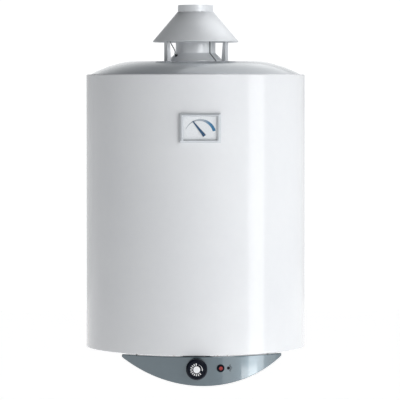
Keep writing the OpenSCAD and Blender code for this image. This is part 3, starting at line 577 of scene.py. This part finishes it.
SCALE_INK = scale_ink()
CLEAR = window_plastic()

# ---- casing and cover

LEDGE_R = COVER_R + 0.3


def back_seam(centre, half, height):
    """A flat band raised by height over the angles centre +- half, with soft shoulders."""
    def ripple(a, r, z):
        off = np.abs((a - centre + math.pi) % TAU - math.pi)
        step = np.clip((half - off) / (0.18 * half) + 0.5, 0, 1)
        return height * step * step * (3 - 2 * step) * (r > BODY_R - 0.3)
    return ripple


def make_casing():
    """Outer casing: the sheet's section, turned in at both ends, carried round the axis. A lock
    seam is raised along the back."""
    section = rounded([
        (BODY_R - 22, 0), (BODY_R, 0), (BODY_R, CASE_H), (LEDGE_R, CASE_H),
        (LEDGE_R, CASE_H - 7), (LEDGE_R + SHEET, CASE_H - 7),
        (LEDGE_R + SHEET, CASE_H - SHEET), (BODY_R - SHEET, CASE_H - SHEET),
        (BODY_R - SHEET, SHEET), (BODY_R - 22, SHEET)],
        [0, 1.6, 2.4, 1.2, 0, 0, 0, 1.2, 0.7, 0], closed=True)
    angles = angle_steps(288, (math.pi, math.radians(2.2)))
    return turned_piece("outer_casing_shell", section, angles=angles,
                        ripple=back_seam(math.pi, math.radians(1.4), 1.1))


def make_cover():
    """Domed cover: a gently swelling slope from the ledge, a straight line plus a parabola square
    to it, bent by an arc into the flat middle."""
    flat_r = 150
    bend = 40
    far = math.radians(14)
    foot_r, foot_h = COVER_R - 1.2, CASE_H + 1
    t = np.linspace(far, 0, 9)[:, None]
    crown = np.hstack([flat_r + bend * np.sin(t), DOME_H + bend * (np.cos(t) - 1)])
    k = np.linspace(0, 1, 14)[:, None]
    chord = np.array([[foot_r, foot_h]]) * (1 - k) + crown[:1] * k
    swell = np.array([[0.32, 0.95]]) * 3 * 4 * k * (1 - k)
    top = np.vstack([chord + swell, crown[1:]])
    outer = rounded([(COVER_R, CASE_H - 7.5), (COVER_R, CASE_H + 0.4), tuple(top[0])],
                    [0, 2.2, 0])
    lip = np.array([(48, DOME_H), (47.4, DOME_H - 0.3),
                    (47.4, DOME_H - SHEET)])
    under = np.array([(r, z - SHEET) for r, z in top[::-1]])
    inner = np.array([(COVER_R - SHEET, CASE_H - 0.4), (COVER_R - SHEET, CASE_H - 7.5)])
    return turned_piece("top_cover_dome", np.vstack([outer[:-1], top, lip, under, inner]), 256)


finish_piece(make_casing(), WHITE_ENAMEL, ["outer_casing"])
finish_piece(make_cover(), GREY_ENAMEL, ["top_cover"])

# ---- draught hood

GROOVE_TURN = SEAM_TURN + math.radians(3.5)


def lap_seam(a, r, z):
    """Lap joint of the pipe: a narrow groove, then the raised edge of the overlapping sheet."""
    off = np.degrees((a - GROOVE_TURN + math.pi) % TAU - math.pi)
    groove = np.clip(1.6 - np.abs(off) / 1.7, 0, 1) * -0.7
    ridge = np.clip((off - 1.8) / 0.5, 0, 1) * np.clip((8 - off) / 4.0, 0, 1) * 0.9
    return (groove + ridge) * (r > FLUE_R - 0.4)


def groove_shadow_mask(tree):
    """One within the lap joint's groove, by each point's angle round the pipe's axis: the mask of a
    shadow painted into the groove.
    """
    x, y, z = axes(tree, object_coords(tree))
    angle = maths(tree, "ARCTAN2", x, maths(tree, "SUBTRACT", float(AXIS[1]), y))
    off = maths(tree, "ABSOLUTE", maths(tree, "SUBTRACT", angle, GROOVE_TURN))
    return blend(tree, off, math.radians(1.4), math.radians(2.6), 1.0, 0.0)


def make_pipe():
    """Flue pipe and its conical foot in one sheet, with the lap seam down its front right."""
    section = rounded([
        (CONE_R - 1.4, DOME_H), (CONE_R, DOME_H), (CONE_R, DOME_H + 1.6),
        (FLUE_R, CONE_TOP), (FLUE_R, PIPE_TOP), (FLUE_R - SHEET, PIPE_TOP),
        (FLUE_R - SHEET, CONE_TOP - 0.5), (CONE_R - 1.4, DOME_H + 1.2)],
        [0, 0.5, 0.7, 2.5, 0.4, 0.4, 0, 0], closed=True)
    angles = angle_steps(160, (GROOVE_TURN, math.radians(9)))
    return turned_piece("flue_pipe_and_foot", section, angles=angles, ripple=lap_seam)


def make_skirt():
    """Hood skirt: a straight cone with a rolled hem at its lower edge."""
    tilt = math.atan((SKIRT_R - COLLAR_R) / (SKIRT_TOP - SKIRT_H))
    wall = SHEET / math.cos(tilt)
    k = np.linspace(math.radians(-35), math.radians(200), 15)[:, None]
    hem_r = 1.5
    edge = SKIRT_R - 1.5
    hem = np.hstack([edge - hem_r * np.cos(k), SKIRT_H + 0.4 - hem_r * np.sin(k)])
    top_r = COLLAR_R + 0.9
    outside = np.array([(top_r, SKIRT_TOP), (top_r - wall, SKIRT_TOP)])
    return turned_piece("hood_skirt_cone", np.vstack([hem, outside]), 192)


def make_collar():
    """Hood collar: a short tube with a rolled upper edge, stepped in below to sit in the skirt."""
    neck = COLLAR_R - 1.1
    section = rounded([
        (neck - SHEET, SKIRT_TOP - 10), (neck, SKIRT_TOP - 10), (neck, SKIRT_TOP),
        (COLLAR_R, SKIRT_TOP), (COLLAR_R, COLLAR_TOP), (COLLAR_R - 1.6, COLLAR_TOP),
        (COLLAR_R - 1.6, SKIRT_TOP + 2), (neck - SHEET, SKIRT_TOP + 2)],
        [0, 0, 0, 0.3, 0.7, 0.7, 0, 0], closed=True)
    return turned_piece("hood_collar_ring", section, 160)


def leg_parts(turn, mirrored):
    """One leg: a tangential plate, a wedge folded inwards at its front edge, and a foot tab."""
    side = -1 if mirrored else 1
    gauge = 1.2
    plate_h = SKIRT_H + 19 - DOME_H

    def upright(pts):
        """Local x along the leg's width, y up, z outwards from the axis."""
        p = np.asarray(pts, float).copy()
        p[..., 0] *= side
        return facing(p, turn, DOME_H, LEG_R)

    def sideways(pts):
        """Local x outwards from the axis, y up, z along the leg's width."""
        p = np.asarray(pts, float)
        return upright(np.stack([p[..., 2] + 5.8, p[..., 1], p[..., 0]], -1))

    w = 7
    plate = [(-w, 0), (-3, 0), (-3, -3), (3, -3), (3, 0), (w, 0),
             (w, plate_h - 6), (w - 2, plate_h), (-w + 2, plate_h),
             (-w, plate_h - 6)]
    wedge = [(0, 0.4), (-9, 0.4), (-5, 46), (-4, 49), (0, 49)]
    return [plate_piece("leg_plate", plate, gauge, upright),
            plate_piece("leg_wedge", wedge, gauge, sideways)]


def make_legs():
    """All legs, each the same folded sheet turned round the axis; the right one is mirrored."""
    return join("hood_leg_set", sum([leg_parts(a, 0 < a < math.pi) for a in LEG_TURNS], []))


def make_capillary():
    """Thin tube of the spill sensor, from under the skirt down to the foot's grommet."""
    def at(turn, r, z):
        a = math.radians(turn)
        return [r * math.sin(a), -r * math.cos(a), z]
    path = [at(-60, LEG_R - 13, SKIRT_H + 4), at(-60, LEG_R - 11.5, SKIRT_H - 2),
            at(-59, FLUE_R + 16, SKIRT_H - 12), at(GROMMET_TURN, FLUE_R + 11, CONE_TOP + 4),
            at(GROMMET_TURN, FLUE_R + 11, GROMMET_H + 3), at(GROMMET_TURN, FLUE_R + 7, GROMMET_H)]
    return tube_piece("sensor_capillary_tube", path, 1.1)


def make_grommet():
    """Moulded grommet: a stub with a rounded bead where it seats on the foot."""
    profile = rounded([(1.3, 11.5), (2.5, 11.5), (2.5, 8.6), (3, 8.6), (3, 7.2), (2.5, 6.4),
                       (2.5, 0), (1.3, 0)], [0.4, 0.8, 0.5, 0.9, 0.9, 0, 0, 0], closed=True)
    return button_piece("capillary_grommet", profile, math.radians(GROMMET_TURN), GROMMET_H,
                        FLUE_R - 2, 40, closed=True)


# Painted shadow: the pipe's base colour is darkened along the lap joint's groove, where shade would
# fall.
darken(LIT_PIPE_COAT, groove_shadow_mask, (0.10, 0.115, 0.13, 1))
finish_piece(make_pipe(), LIT_PIPE_COAT, ["flue_pipe"])
finish_piece(make_skirt(), HOOD_COAT, ["hood_skirt"])
finish_piece(make_collar(), HOOD_COAT, ["hood_collar"])
finish_piece(make_legs(), HOOD_COAT, ["hood_legs"])
finish_piece(make_capillary(), CAPILLARY, ["sensor_capillary"])
finish_piece(make_grommet(), RUBBER, ["sensor_grommet"])

# ---- control panel

PANEL_TOP = -2
PANEL_WALL = 3


def make_panel():
    """Crescent panel: at each point across, a C-shaped section with rounded lips runs from the
    upper edge down to the circle of the lower edge; the section shrinks to a rounded end."""
    arc_z = PANEL_ARC + PANEL_LOW - 1.5
    end_round = 1.6
    x = PANEL_HALF * np.sin(np.linspace(-math.pi / 2, math.pi / 2, 181))
    lip = 16
    wall = PANEL_WALL
    rows = []
    for across in x:
        low = arc_z - math.sqrt(PANEL_ARC ** 2 - across ** 2)
        top = PANEL_TOP
        past = max(0.0, abs(across) - (PANEL_HALF - end_round)) / end_round
        squeeze = (1 - math.sqrt(max(0.0, 1 - past ** 2))) * 0.22 * (top - low)
        top, low = top - squeeze, low + squeeze
        fine = min(1.3, 0.3 * (top - low))
        inner = min(wall, 0.32 * (top - low))
        turn = math.asin(across / PANEL_R)
        section = rounded([
            (PANEL_R - lip, top), (PANEL_R, top), (PANEL_R, low), (PANEL_R - lip, low),
            (PANEL_R - lip, low + inner), (PANEL_R - wall, low + inner),
            (PANEL_R - wall, top - inner), (PANEL_R - lip, top - inner)],
            [0.3 * inner, fine, fine, 0.3 * inner, 0.3 * inner, 0, 0, 0.3 * inner],
            steps=4, guard=0.25 * fine, closed=True)
        a = PANEL_TURN + turn
        rows.append(np.stack([section[:, 0] * math.sin(a), -section[:, 0] * math.cos(a),
                              section[:, 1]], -1))
    rows = np.array(rows)
    return outward(make_mesh("control_panel_crescent", on_axis(rows), capped_faces(*rows.shape[:2])))


def drill(piece, turn, z, radius):
    """Cuts a round hole through a piece, along the line that points out of the front there."""
    profile = [(0, -12), (radius, -12), (radius, 12), (0, 12)]
    cutter = button_piece("cutter", profile, turn, z, PANEL_R, 48)
    cut = piece.modifiers.new("hole", "BOOLEAN")
    cut.operation, cut.solver, cut.object = "DIFFERENCE", "EXACT", cutter
    bpy.context.view_layer.objects.active = piece
    bpy.ops.object.modifier_apply(modifier=cut.name)
    bpy.data.objects.remove(cutter)
    piece.data.set_sharp_from_angle(angle=math.radians(40))
    return piece


def underside_shade_mask(tree):
    """One where a surface faces the floor: the mask of the shade painted under the panel's lower lip."""
    normal = node(tree, "NewGeometry").outputs["True Normal"]
    return blend(tree, axes(tree, normal)[2], -0.7, -0.15, 1.0, 0.0)


# Painted shade: the panel's downward faces, such as the underside of its lower lip, are darkened in its
# base colour.
darken(PANEL_SILVER, underside_shade_mask, (0.02, 0.028, 0.034, 1))
panel = make_panel()
drill(panel, KNOB_TURN, KNOB_Z, 7)
drill(panel, BUTTON_TURN, BUTTON_Z, 6.8)
finish_piece(panel, PANEL_SILVER, ["control_panel"])

# ---- knob, button and sign

knob_low, knob_high = local_box("control_knob")
KNOB_R = (knob_high[2] - knob_low[2]) / 2
KNOB_H = 19
KNOB_BACK = PANEL_R + 4.2


def grip(count, depth, foot, head):
    """Shallow flutes round a knob's side, fading out towards its foot and its face."""
    def ripple(a, r, z):
        wave = 0.5 - 0.5 * np.cos(count * a)
        fade = np.clip((z - foot) / 1.5, 0, 1) * np.clip((head - z) / 1.5, 0, 1)
        return -depth * wave * fade * (r > 0.9 * KNOB_R)
    return ripple


def make_knob():
    """Gas knob: a fluted cup with a chamfered shoulder, a fine groove round its face, and a hub
    that takes the spindle."""
    r, h = KNOB_R, KNOB_H
    side = [(r, z) for z in np.linspace(1.2, h - 4.2, 14)]
    corners = [(r - 2.6, 0), (r, 0), *side, (r - 0.4, h - 3), (r - 3, h),
               (r - 4.2, h), (r - 4.5, h - 0.7), (r - 5.1, h - 0.7),
               (r - 5.4, h), (0, h)]
    radii = [0, 0.6] + [0] * len(side) + [1.2, 0.9, 0.15, 0.1, 0.1,
                                              0.15, 0]
    outer = rounded(corners, radii, steps=4, guard=0.12)
    inner = [(0, 13), (4.05, 13), (4.05, 0), (9, 0), (9, h - 2.5),
             (r - 3.6, h - 3.4), (r - 2.6, 0)]
    return button_piece("gas_knob", np.vstack([outer, inner]), KNOB_TURN, KNOB_Z, KNOB_BACK, 288,
                        ripple=grip(36, 0.55, 1.6, h - 4))


def sector(r0, r1, a0, a1, steps=20, taper=0.0):
    """Outline of a ring's sector; taper thins it towards its first angle."""
    a = np.linspace(a0, a1, steps)
    thin = taper * (1 - np.linspace(0, 1, steps)) * (r1 - r0)
    out = [((r1 - t) * math.cos(k), (r1 - t) * math.sin(k)) for k, t in zip(a, thin)]
    back = [(r0 * math.cos(k), r0 * math.sin(k)) for k in a[::-1]]
    return out + back


def make_marks():
    """White print on the knob's face: a dot, a fan of eleven ticks and a swelling arc."""
    def place(pts):
        return facing(pts, KNOB_TURN, KNOB_Z, KNOB_BACK + KNOB_H)
    ink = 0.28
    tick = [(9, -0.6), (13.7, -1.15), (14.1, 0), (13.7, 1.15), (9, 0.6)]
    parts = [plate_piece("dot", circle(7.5, 48), ink, place, 0.1)]
    parts += [plate_piece("tick", spun(tick, math.radians(95 + 21.5 * i)), ink, place, 0.08)
              for i in range(11)]
    arc = sector(11.6, 13.2, math.radians(72), math.radians(-12), 24, 0.9)
    parts.append(plate_piece("arc", arc, ink, place, 0.05))
    return join("knob_face_marks", parts)


def make_button():
    """Ignition button: a short plunger with a rounded, slightly dished face."""
    r = 4.1
    h = 24.5
    dish_r = np.linspace(r - 0.9, 0, 7)
    dish = [(k, h - 0.35 * (1 - (k / (r - 0.9)) ** 2)) for k in dish_r]
    profile = np.vstack([[(0, 0)], rounded([(r - 0.4, 0), (r, 0), (r, h), dish[0]],
                                           [0, 0.3, 0.7, 0]), dish[1:]])
    return button_piece("ignition_button", profile, BUTTON_TURN, BUTTON_Z, PANEL_R - 20, 64)


def make_button_neck():
    """Igniter neck and housing: a stepped bush, bored for the plunger, with a rounded lip."""
    back = BODY_R - 52
    deep = PANEL_R - 3.8 - back
    tip = PANEL_R + 3.4 - back
    section = rounded([
        (0, 0), (9, 0), (9, deep), (6.6, deep), (6.6, tip), (4.3, tip),
        (4.3, 10), (0, 10)],
        [0, 1, 0.8, 0, 0.8, 0.5, 0, 0])
    return button_piece("igniter_housing", section, BUTTON_TURN, BUTTON_Z, back, 72)


def make_button_ring():
    """Black bezel nut round the igniter's neck, with a rounded crown."""
    section = rounded([(6.75, 0.2), (8.6, 0.2), (8.6, 2.3),
                       (6.75, 2.3)], [0, 0.3, 0.9, 0.4], closed=True)
    return button_piece("igniter_bezel", section, BUTTON_TURN, BUTTON_Z, PANEL_R, 72, closed=True)


def make_spark_sign():
    """Small printed spark: a dot and five rays bent over the panel's curve."""
    def place(pts):
        p = np.asarray(pts, float)
        turn = SIGN_TURN + p[..., 0] / PANEL_R
        r = PANEL_R + p[..., 2] - 0.02
        return on_axis(np.stack([r * np.sin(turn), -r * np.cos(turn), p[..., 1] + BUTTON_Z], -1))
    parts = [plate_piece("spark_dot", circle(3.4, 32), 0.16, place, 0.05)]
    for i, a in enumerate(np.radians([-60, -30, 0, 30, 60])):
        far = 7.2 if i % 2 else 8.4
        ray = [(4.4, -0.55), (far, -0.95), (far, 0.95), (4.4, 0.55)]
        parts.append(plate_piece("ray", spun(ray, a), 0.16, place, 0.05))
    return join("spark_sign", parts)


finish_piece(make_knob(), BLACK_GLOSS, ["control_knob"], "knob")
finish_piece(make_marks(), WHITE_PRINT, ["knob_marks"], "knob")
finish_piece(make_button(), RED_PLASTIC, ["piezo_button"], "button")
finish_piece(make_button_neck(), BLACK_GLOSS, ["piezo_igniter"])
finish_piece(make_button_ring(), BLACK_GLOSS, ["igniter_nut"])
finish_piece(make_spark_sign(), BLACK_PRINT, ["spark_symbol"])

# ---- thermometer

therm_low, therm_high = local_box("thermometer_frame")
THERM_W, THERM_H = therm_high[0] - therm_low[0], therm_high[2] - therm_low[2]
THERM_Z = (therm_low[2] + therm_high[2]) / 2
BORDER = 8.5
WINDOW_W = THERM_W - 2 * BORDER
WINDOW_H = THERM_H - 2 * BORDER + 4
FRAME_FRONT = BODY_R + 6.5
GLASS = FRAME_FRONT - 2.4
DIAL_R = BODY_R + 1
NEEDLE_X = 8.3
NEEDLE_Z = -15.2
SCALE_X = 0.9
SCALE_R = 34


def on_therm(reach):
    """Maps local points (x right, y up, z outwards) to the thermometer's flat front."""
    def place(pts):
        return facing(pts, 0.0, THERM_Z, reach)
    return place


def rounded_box(w, h, r, steps=6):
    """Outline of a rectangle w by h with corners of radius r, centred."""
    corners = [(w / 2, -h / 2), (w / 2, h / 2), (-w / 2, h / 2), (-w / 2, -h / 2)]
    return rounded(corners, [r] * 4, steps, guard=0.4, closed=True)


def make_frame():
    """Thermometer frame: rectangles with rounded corners, one inside the next, climb the frame's
    outer bevel, cross its face and drop to the window's edge, then return along the back."""
    w, h = THERM_W, THERM_H
    deep = FRAME_FRONT - BODY_R
    back = -4.5
    rings = [
        (w, h, 1.2, back), (w, h, 1.2, deep - 4.2), (w - 0.4, h - 0.4, 1.2, deep - 3.7),
        (w - 7.2, h - 7.2, 1.4, deep - 0.3), (w - 8.2, h - 8.2, 1.4, deep),
        (WINDOW_W + 5, WINDOW_H + 5, 1.6, deep),
        (WINDOW_W + 4, WINDOW_H + 4, 1.6, deep - 0.25),
        (WINDOW_W + 0.3, WINDOW_H + 0.3, 1.4, deep - 1.95),
        (WINDOW_W, WINDOW_H, 1.3, deep - 2.3), (WINDOW_W, WINDOW_H, 1.3, deep - 2.4),
        (WINDOW_W + 4.8, WINDOW_H + 4.8, 1.3, deep - 2.4),
        (WINDOW_W + 4.8, WINDOW_H + 4.8, 1.3, back)]
    pts = []
    for wide, high, r, z in rings:
        o = rounded_box(wide, high, r)
        pts.append(np.column_stack([o, np.full(len(o), z)]))
    pts = np.array(pts)
    faces = grid_faces(pts.shape[0], pts.shape[1], True, True)
    return outward(make_mesh("thermometer_bezel", on_therm(BODY_R)(pts), faces))


def make_dial():
    """Dial: a thin card with a rounded rim."""
    o = rounded_box(WINDOW_W + 4, WINDOW_H + 4, 1)
    return plate_piece("thermometer_card", o, 1, on_therm(DIAL_R - 0.6), 0.15)


def on_dial(reach, x):
    """Maps local points to a plane parallel to the dial, x to the right of its middle."""
    def place(pts):
        p = np.asarray(pts, float) + np.array([x, NEEDLE_Z, 0])
        return on_therm(reach)(p)
    return place


def make_scale():
    """Printed scale: the gap between two circles set off centre, so the band swells to the hot
    end."""
    a = np.radians(np.linspace(160, 16, 61))
    off = np.array([-3.2, -0.6])
    inner_r = SCALE_R - 3
    outer = SCALE_R + 0.6
    u = np.stack([np.cos(a), np.sin(a)], 1)
    along = u @ off
    inner = along + np.sqrt(along ** 2 - off @ off + inner_r ** 2)
    inner = np.minimum(inner, outer - 0.5)
    outline = np.vstack([u * outer, (u * inner[:, None])[::-1]])
    return plate_piece("scale_band", outline, 0.2, on_dial(DIAL_R + 0.4, SCALE_X), 0.05)


def make_needle():
    """Needle: a long taper with a square end just behind its pivot, bevelled all round, and the
    low boss that grips the pin."""
    tip = SCALE_R + 4.2
    half = 3.4
    bar = [(-2.6, -half), (0, -half), (tip, -1), (tip, 1), (0, half), (-2.6, half)]
    place = on_dial(DIAL_R + 1.1, NEEDLE_X)
    return join("dial_needle", [
        plate_piece("bar", spun(bar, math.radians(129)), 0.8, place),
        plate_piece("boss", circle(2.2, 24), 1.7, place, 0.2)])


def make_window():
    """Clear window, a plate with a fine polished edge."""
    o = rounded_box(WINDOW_W + 4.4, WINDOW_H + 4.4, 1)
    return plate_piece("window_plate", o, 1, on_therm(GLASS), 0.15)


finish_piece(make_frame(), FRAME_PLASTIC, ["thermometer_frame"])
finish_piece(make_dial(), DIAL_PLATE, ["thermometer_dial"])
finish_piece(make_scale(), SCALE_INK, ["scale_arc"])
finish_piece(make_needle(), NEEDLE_BLUE, ["thermometer_needle"], "needle")
finish_piece(make_window(), CLEAR, ["thermometer_window"])

# ---- water and gas connections

THREAD_PITCH = 1.81


def threaded_piece(name, r, bore, low, high, thread_top, rows, x, y, shoulder=None):
    """A pipe end standing on z: a helix of the thread's pitch runs up its outside and fades at
    its lower edge and at thread_top; radius is lowered by the thread's depth in the valleys. The
    thread has the given number of rows, and past a shoulder the pipe is a little thinner."""
    sides = 96
    k = np.linspace(0, TAU, sides, endpoint=False)
    lift = np.linspace(low + 0.8, thread_top + 0.5, rows)
    a = k[:, None]
    z = np.broadcast_to(lift, (sides, len(lift)))
    wave = 0.5 - 0.5 * np.cos(TAU * z / THREAD_PITCH - a)
    fade = np.clip((z - low) / 2.5, 0, 1) * np.clip((thread_top - z) / 3, 0, 1)
    shell_r = r - 1.16 * wave * fade
    ends = [(bore, low + 0.4), (bore + 0.4, low), (r - 0.9, low)]
    neck = r if shoulder is None else r - 0.4
    tops = [] if shoulder is None else [(r, shoulder - 0.3), (neck, shoulder)]
    tops += [(neck, high - 0.4), (neck - 0.4, high), (bore, high)]
    rr = np.hstack([np.tile([p[0] for p in ends], (sides, 1)), shell_r,
                    np.tile([p[0] for p in tops], (sides, 1))])
    zz = np.hstack([np.tile([p[1] for p in ends], (sides, 1)), z,
                    np.tile([p[1] for p in tops], (sides, 1))])
    pts = np.stack([x + rr * np.cos(a), y + rr * np.sin(a), zz], -1)
    return outward(make_mesh(name, on_axis(pts), grid_faces(sides, pts.shape[1], True, True)))


def pipe_end(name, node_name, thread_top, rows, bore, shoulder=None):
    """A threaded pipe end with the place, the length and the radius of its node in the frame."""
    low, high = local_box(node_name)
    x, y, _ = (low + high) / 2
    return threaded_piece(name, (high[0] - low[0]) / 2, bore, low[2], high[2], low[2] + thread_top,
                          rows, x, y, shoulder)


def make_ring(name, node_name):
    """Coloured ring round a water pipe: a rounded rectangle turned round the pipe's axis."""
    low, high = local_box(node_name)
    x, y, _ = (low + high) / 2
    r, h = (high[0] - low[0]) / 2, high[2] - low[2]
    section = rounded([(r - 5.8, 0), (r, 0), (r, h), (r - 5.8, h)], [0.3, 1.1, 0.3, 0.2], closed=True)

    def place(pts):
        return on_axis(pts + np.array([x, y, low[2]]))
    return turned_piece(name, section, 96, place=place)


NIPPLE_BORE = 7.88
finish_piece(pipe_end("cold_water_pipe", "cold_inlet", 20, 240, NIPPLE_BORE, -4),
             PLATED_TUBE, ["cold_inlet"])
finish_piece(pipe_end("hot_water_pipe", "hot_outlet", 20, 240, NIPPLE_BORE, -4),
             PLATED_TUBE, ["hot_outlet"])
finish_piece(pipe_end("gas_pipe_end", "gas_inlet", 12, 132, 7),
             BRASS, ["gas_inlet"])
finish_piece(make_ring("blue_pipe_ring", "cold_ring"), BLUE_PLASTIC, ["cold_ring"])
finish_piece(make_ring("red_pipe_ring", "hot_ring"), RED_PLASTIC, ["hot_ring"])

# ---- pieces kept from the frame

KEPT_FINISHES = [
    (GALVANISED, ["bottom_cover", "combustion_chamber", "burner_tray", "pilot_bracket",
                  "valve_bracket", "wall_bracket_upper", "wall_bracket_lower"]),
    (ZINC, ["panel_screws", "bracket_screws", "anode_flange", "button_spring", "valve_spindle"]),
    (FOAM, ["insulation_jacket", "top_insulation"]),
    (TANK_ENAMEL, ["inner_tank", "flue_tube", "thermometer_pocket"]),
    (HEAT_STEEL, ["flue_baffle", "burner", "venturi"]),
    (BRASS, ["injector", "burner_gas_pipe", "pilot_burner", "push_sleeve", "thermometer_stem"]),
    (COPPER, ["thermocouple", "thermostat_bulb"]),
    (PLATED_TUBE, ["pilot_pipe"]),
    (CERAMIC, ["ignition_electrode"]),
    (SILICONE, ["ignition_lead"]),
    (DIE_CAST, ["gas_valve", "spill_sensor"]),
    (MAGNESIUM, ["anode_rod"]),
    (RUBBER, ["anode_gasket"]),
]
for material, names in KEPT_FINISHES:
    for name in names:
        dress(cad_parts[name], material)

# ---- camera, lights and stage

CAMERA_TURN = math.radians(-2.25)
CAMERA_REACH = 6187
CAMERA_H = 586.5
AIM_RIGHT = 10
AIM_H = 330.5
LENS = 245.7
FLOOR_H = -900
FLOOR_REACH = 12000
FLOOR_GLOW = 0.8
WORLD_WHITE = 1.08
WORLD_SKYLINE = 0.65
WORLD_WINGS = 0.45
WORLD_SIDE = (-0.25, 0.5)
WORLD_LEVELS = (0.08, 0.28)
WORLD_BACK = (0.1, 0.8)


def make_camera():
    """Long lens, level with the casing's upper edge and tilted a little down."""
    data = bpy.data.cameras.new("camera")
    data.sensor_width = 36
    data.lens = LENS
    data.clip_end = 60
    camera = bpy.data.objects.new("camera", data)
    bpy.context.scene.collection.objects.link(camera)
    s, c = math.sin(CAMERA_TURN), math.cos(CAMERA_TURN)
    camera.location = on_axis([CAMERA_REACH * s, -CAMERA_REACH * c, CAMERA_H])
    aim = Vector(on_axis([AIM_RIGHT * c, AIM_RIGHT * s, AIM_H]))
    camera.rotation_euler = (aim - camera.location).to_track_quat("-Z", "Y").to_euler()
    bpy.context.scene.camera = camera


def softbox(name, turn, height, reach, size, power, aim_h):
    """A rectangular light at an angle from the front, facing the heater's axis at height aim_h.
    Heights and the reach are in millimetres, the light's own size in metres."""
    data = bpy.data.lights.new(name, "AREA")
    data.shape = "RECTANGLE"
    data.size, data.size_y = size
    data.energy = power
    light = bpy.data.objects.new(name, data)
    bpy.context.scene.collection.objects.link(light)
    a = math.radians(turn)
    light.location = on_axis([reach * math.sin(a), -reach * math.cos(a), height])
    aim = Vector(on_axis([0, 0, aim_h]))
    light.rotation_euler = (aim - light.location).to_track_quat("-Z", "Y").to_euler()


def make_floor():
    """A pale floor well below the heater, glowing a little as a lit studio floor does."""
    corners = [(-1, -1), (1, -1), (1, 1), (-1, 1)]
    floor = make_mesh("stage_floor", on_axis([(x * FLOOR_REACH, y * FLOOR_REACH, FLOOR_H)
                                             for x, y in corners]), [(0, 1, 2, 3)])
    paint = painted("floor_paint", (0.86, 0.86, 0.87), (0.84, 0.84, 0.85), 0.7, 0.8)
    shader = paint.node_tree.nodes["Principled BSDF"]
    shader.inputs["Emission Color"].default_value = (1, 1, 1, 1)
    shader.inputs["Emission Strength"].default_value = FLOOR_GLOW
    dress(floor, paint)


def make_world():
    """Plain pale surroundings, with a white backdrop. What the heater mirrors is white along
    the skyline and low down behind it, and dimmer towards the left front and overhead."""
    world = bpy.data.worlds.new("world")
    bpy.context.scene.world = world
    world.use_nodes = True
    tree = world.node_tree
    x, y, z = axes(tree, node(tree, "TexCoord").outputs["Generated"])
    front = blend(tree, x, *WORLD_SIDE, *WORLD_LEVELS)
    behind = maths(tree, "MULTIPLY", blend(tree, y, *WORLD_BACK, 0.0, 1.0),
                   blend(tree, z, 0.1, 0.75, 1.0, 0.0))
    behind = maths(tree, "MULTIPLY", behind,
                   blend(tree, maths(tree, "ABSOLUTE", x), 0.1, 0.35, 1.0, WORLD_WINGS))
    white = maths(tree, "MAXIMUM", behind, blend(tree, z, -0.02, 0.015, WORLD_SKYLINE, 0.0))
    white = maths(tree, "MAXIMUM", white, node(tree, "LightPath").outputs["Is Camera Ray"])
    mix = node(tree, "Mix", data_type="FLOAT")
    for socket, value in ((0, white), (2, front), (3, WORLD_WHITE)):
        feed(tree, mix.inputs[socket], value)
    back = tree.nodes["Background"]
    back.inputs["Color"].default_value = (0.985, 0.995, 1.0, 1)
    tree.links.new(mix.outputs[0], back.inputs["Strength"])


make_camera()
make_floor()
make_world()
softbox("strip_right", 61, 200, 2200, (0.70, 1.5), 6.5, 200)
softbox("top_right", 112, 2800, 1400, (2.4, 2.4), 22, 650)
softbox("back_right", 146, 2300, 1900, (2.2, 2.0), 9, 650)
softbox("low_strip", 53, -380, 2200, (0.7, 0.3), 2, 0)
softbox("low_wide", 56, -330, 2300, (2.8, 0.34), 2, 0)
softbox("key_right", 28, 1250, 2800, (1.2, 0.9), 26, 330)
bpy.context.scene.view_settings.view_transform = "Standard"
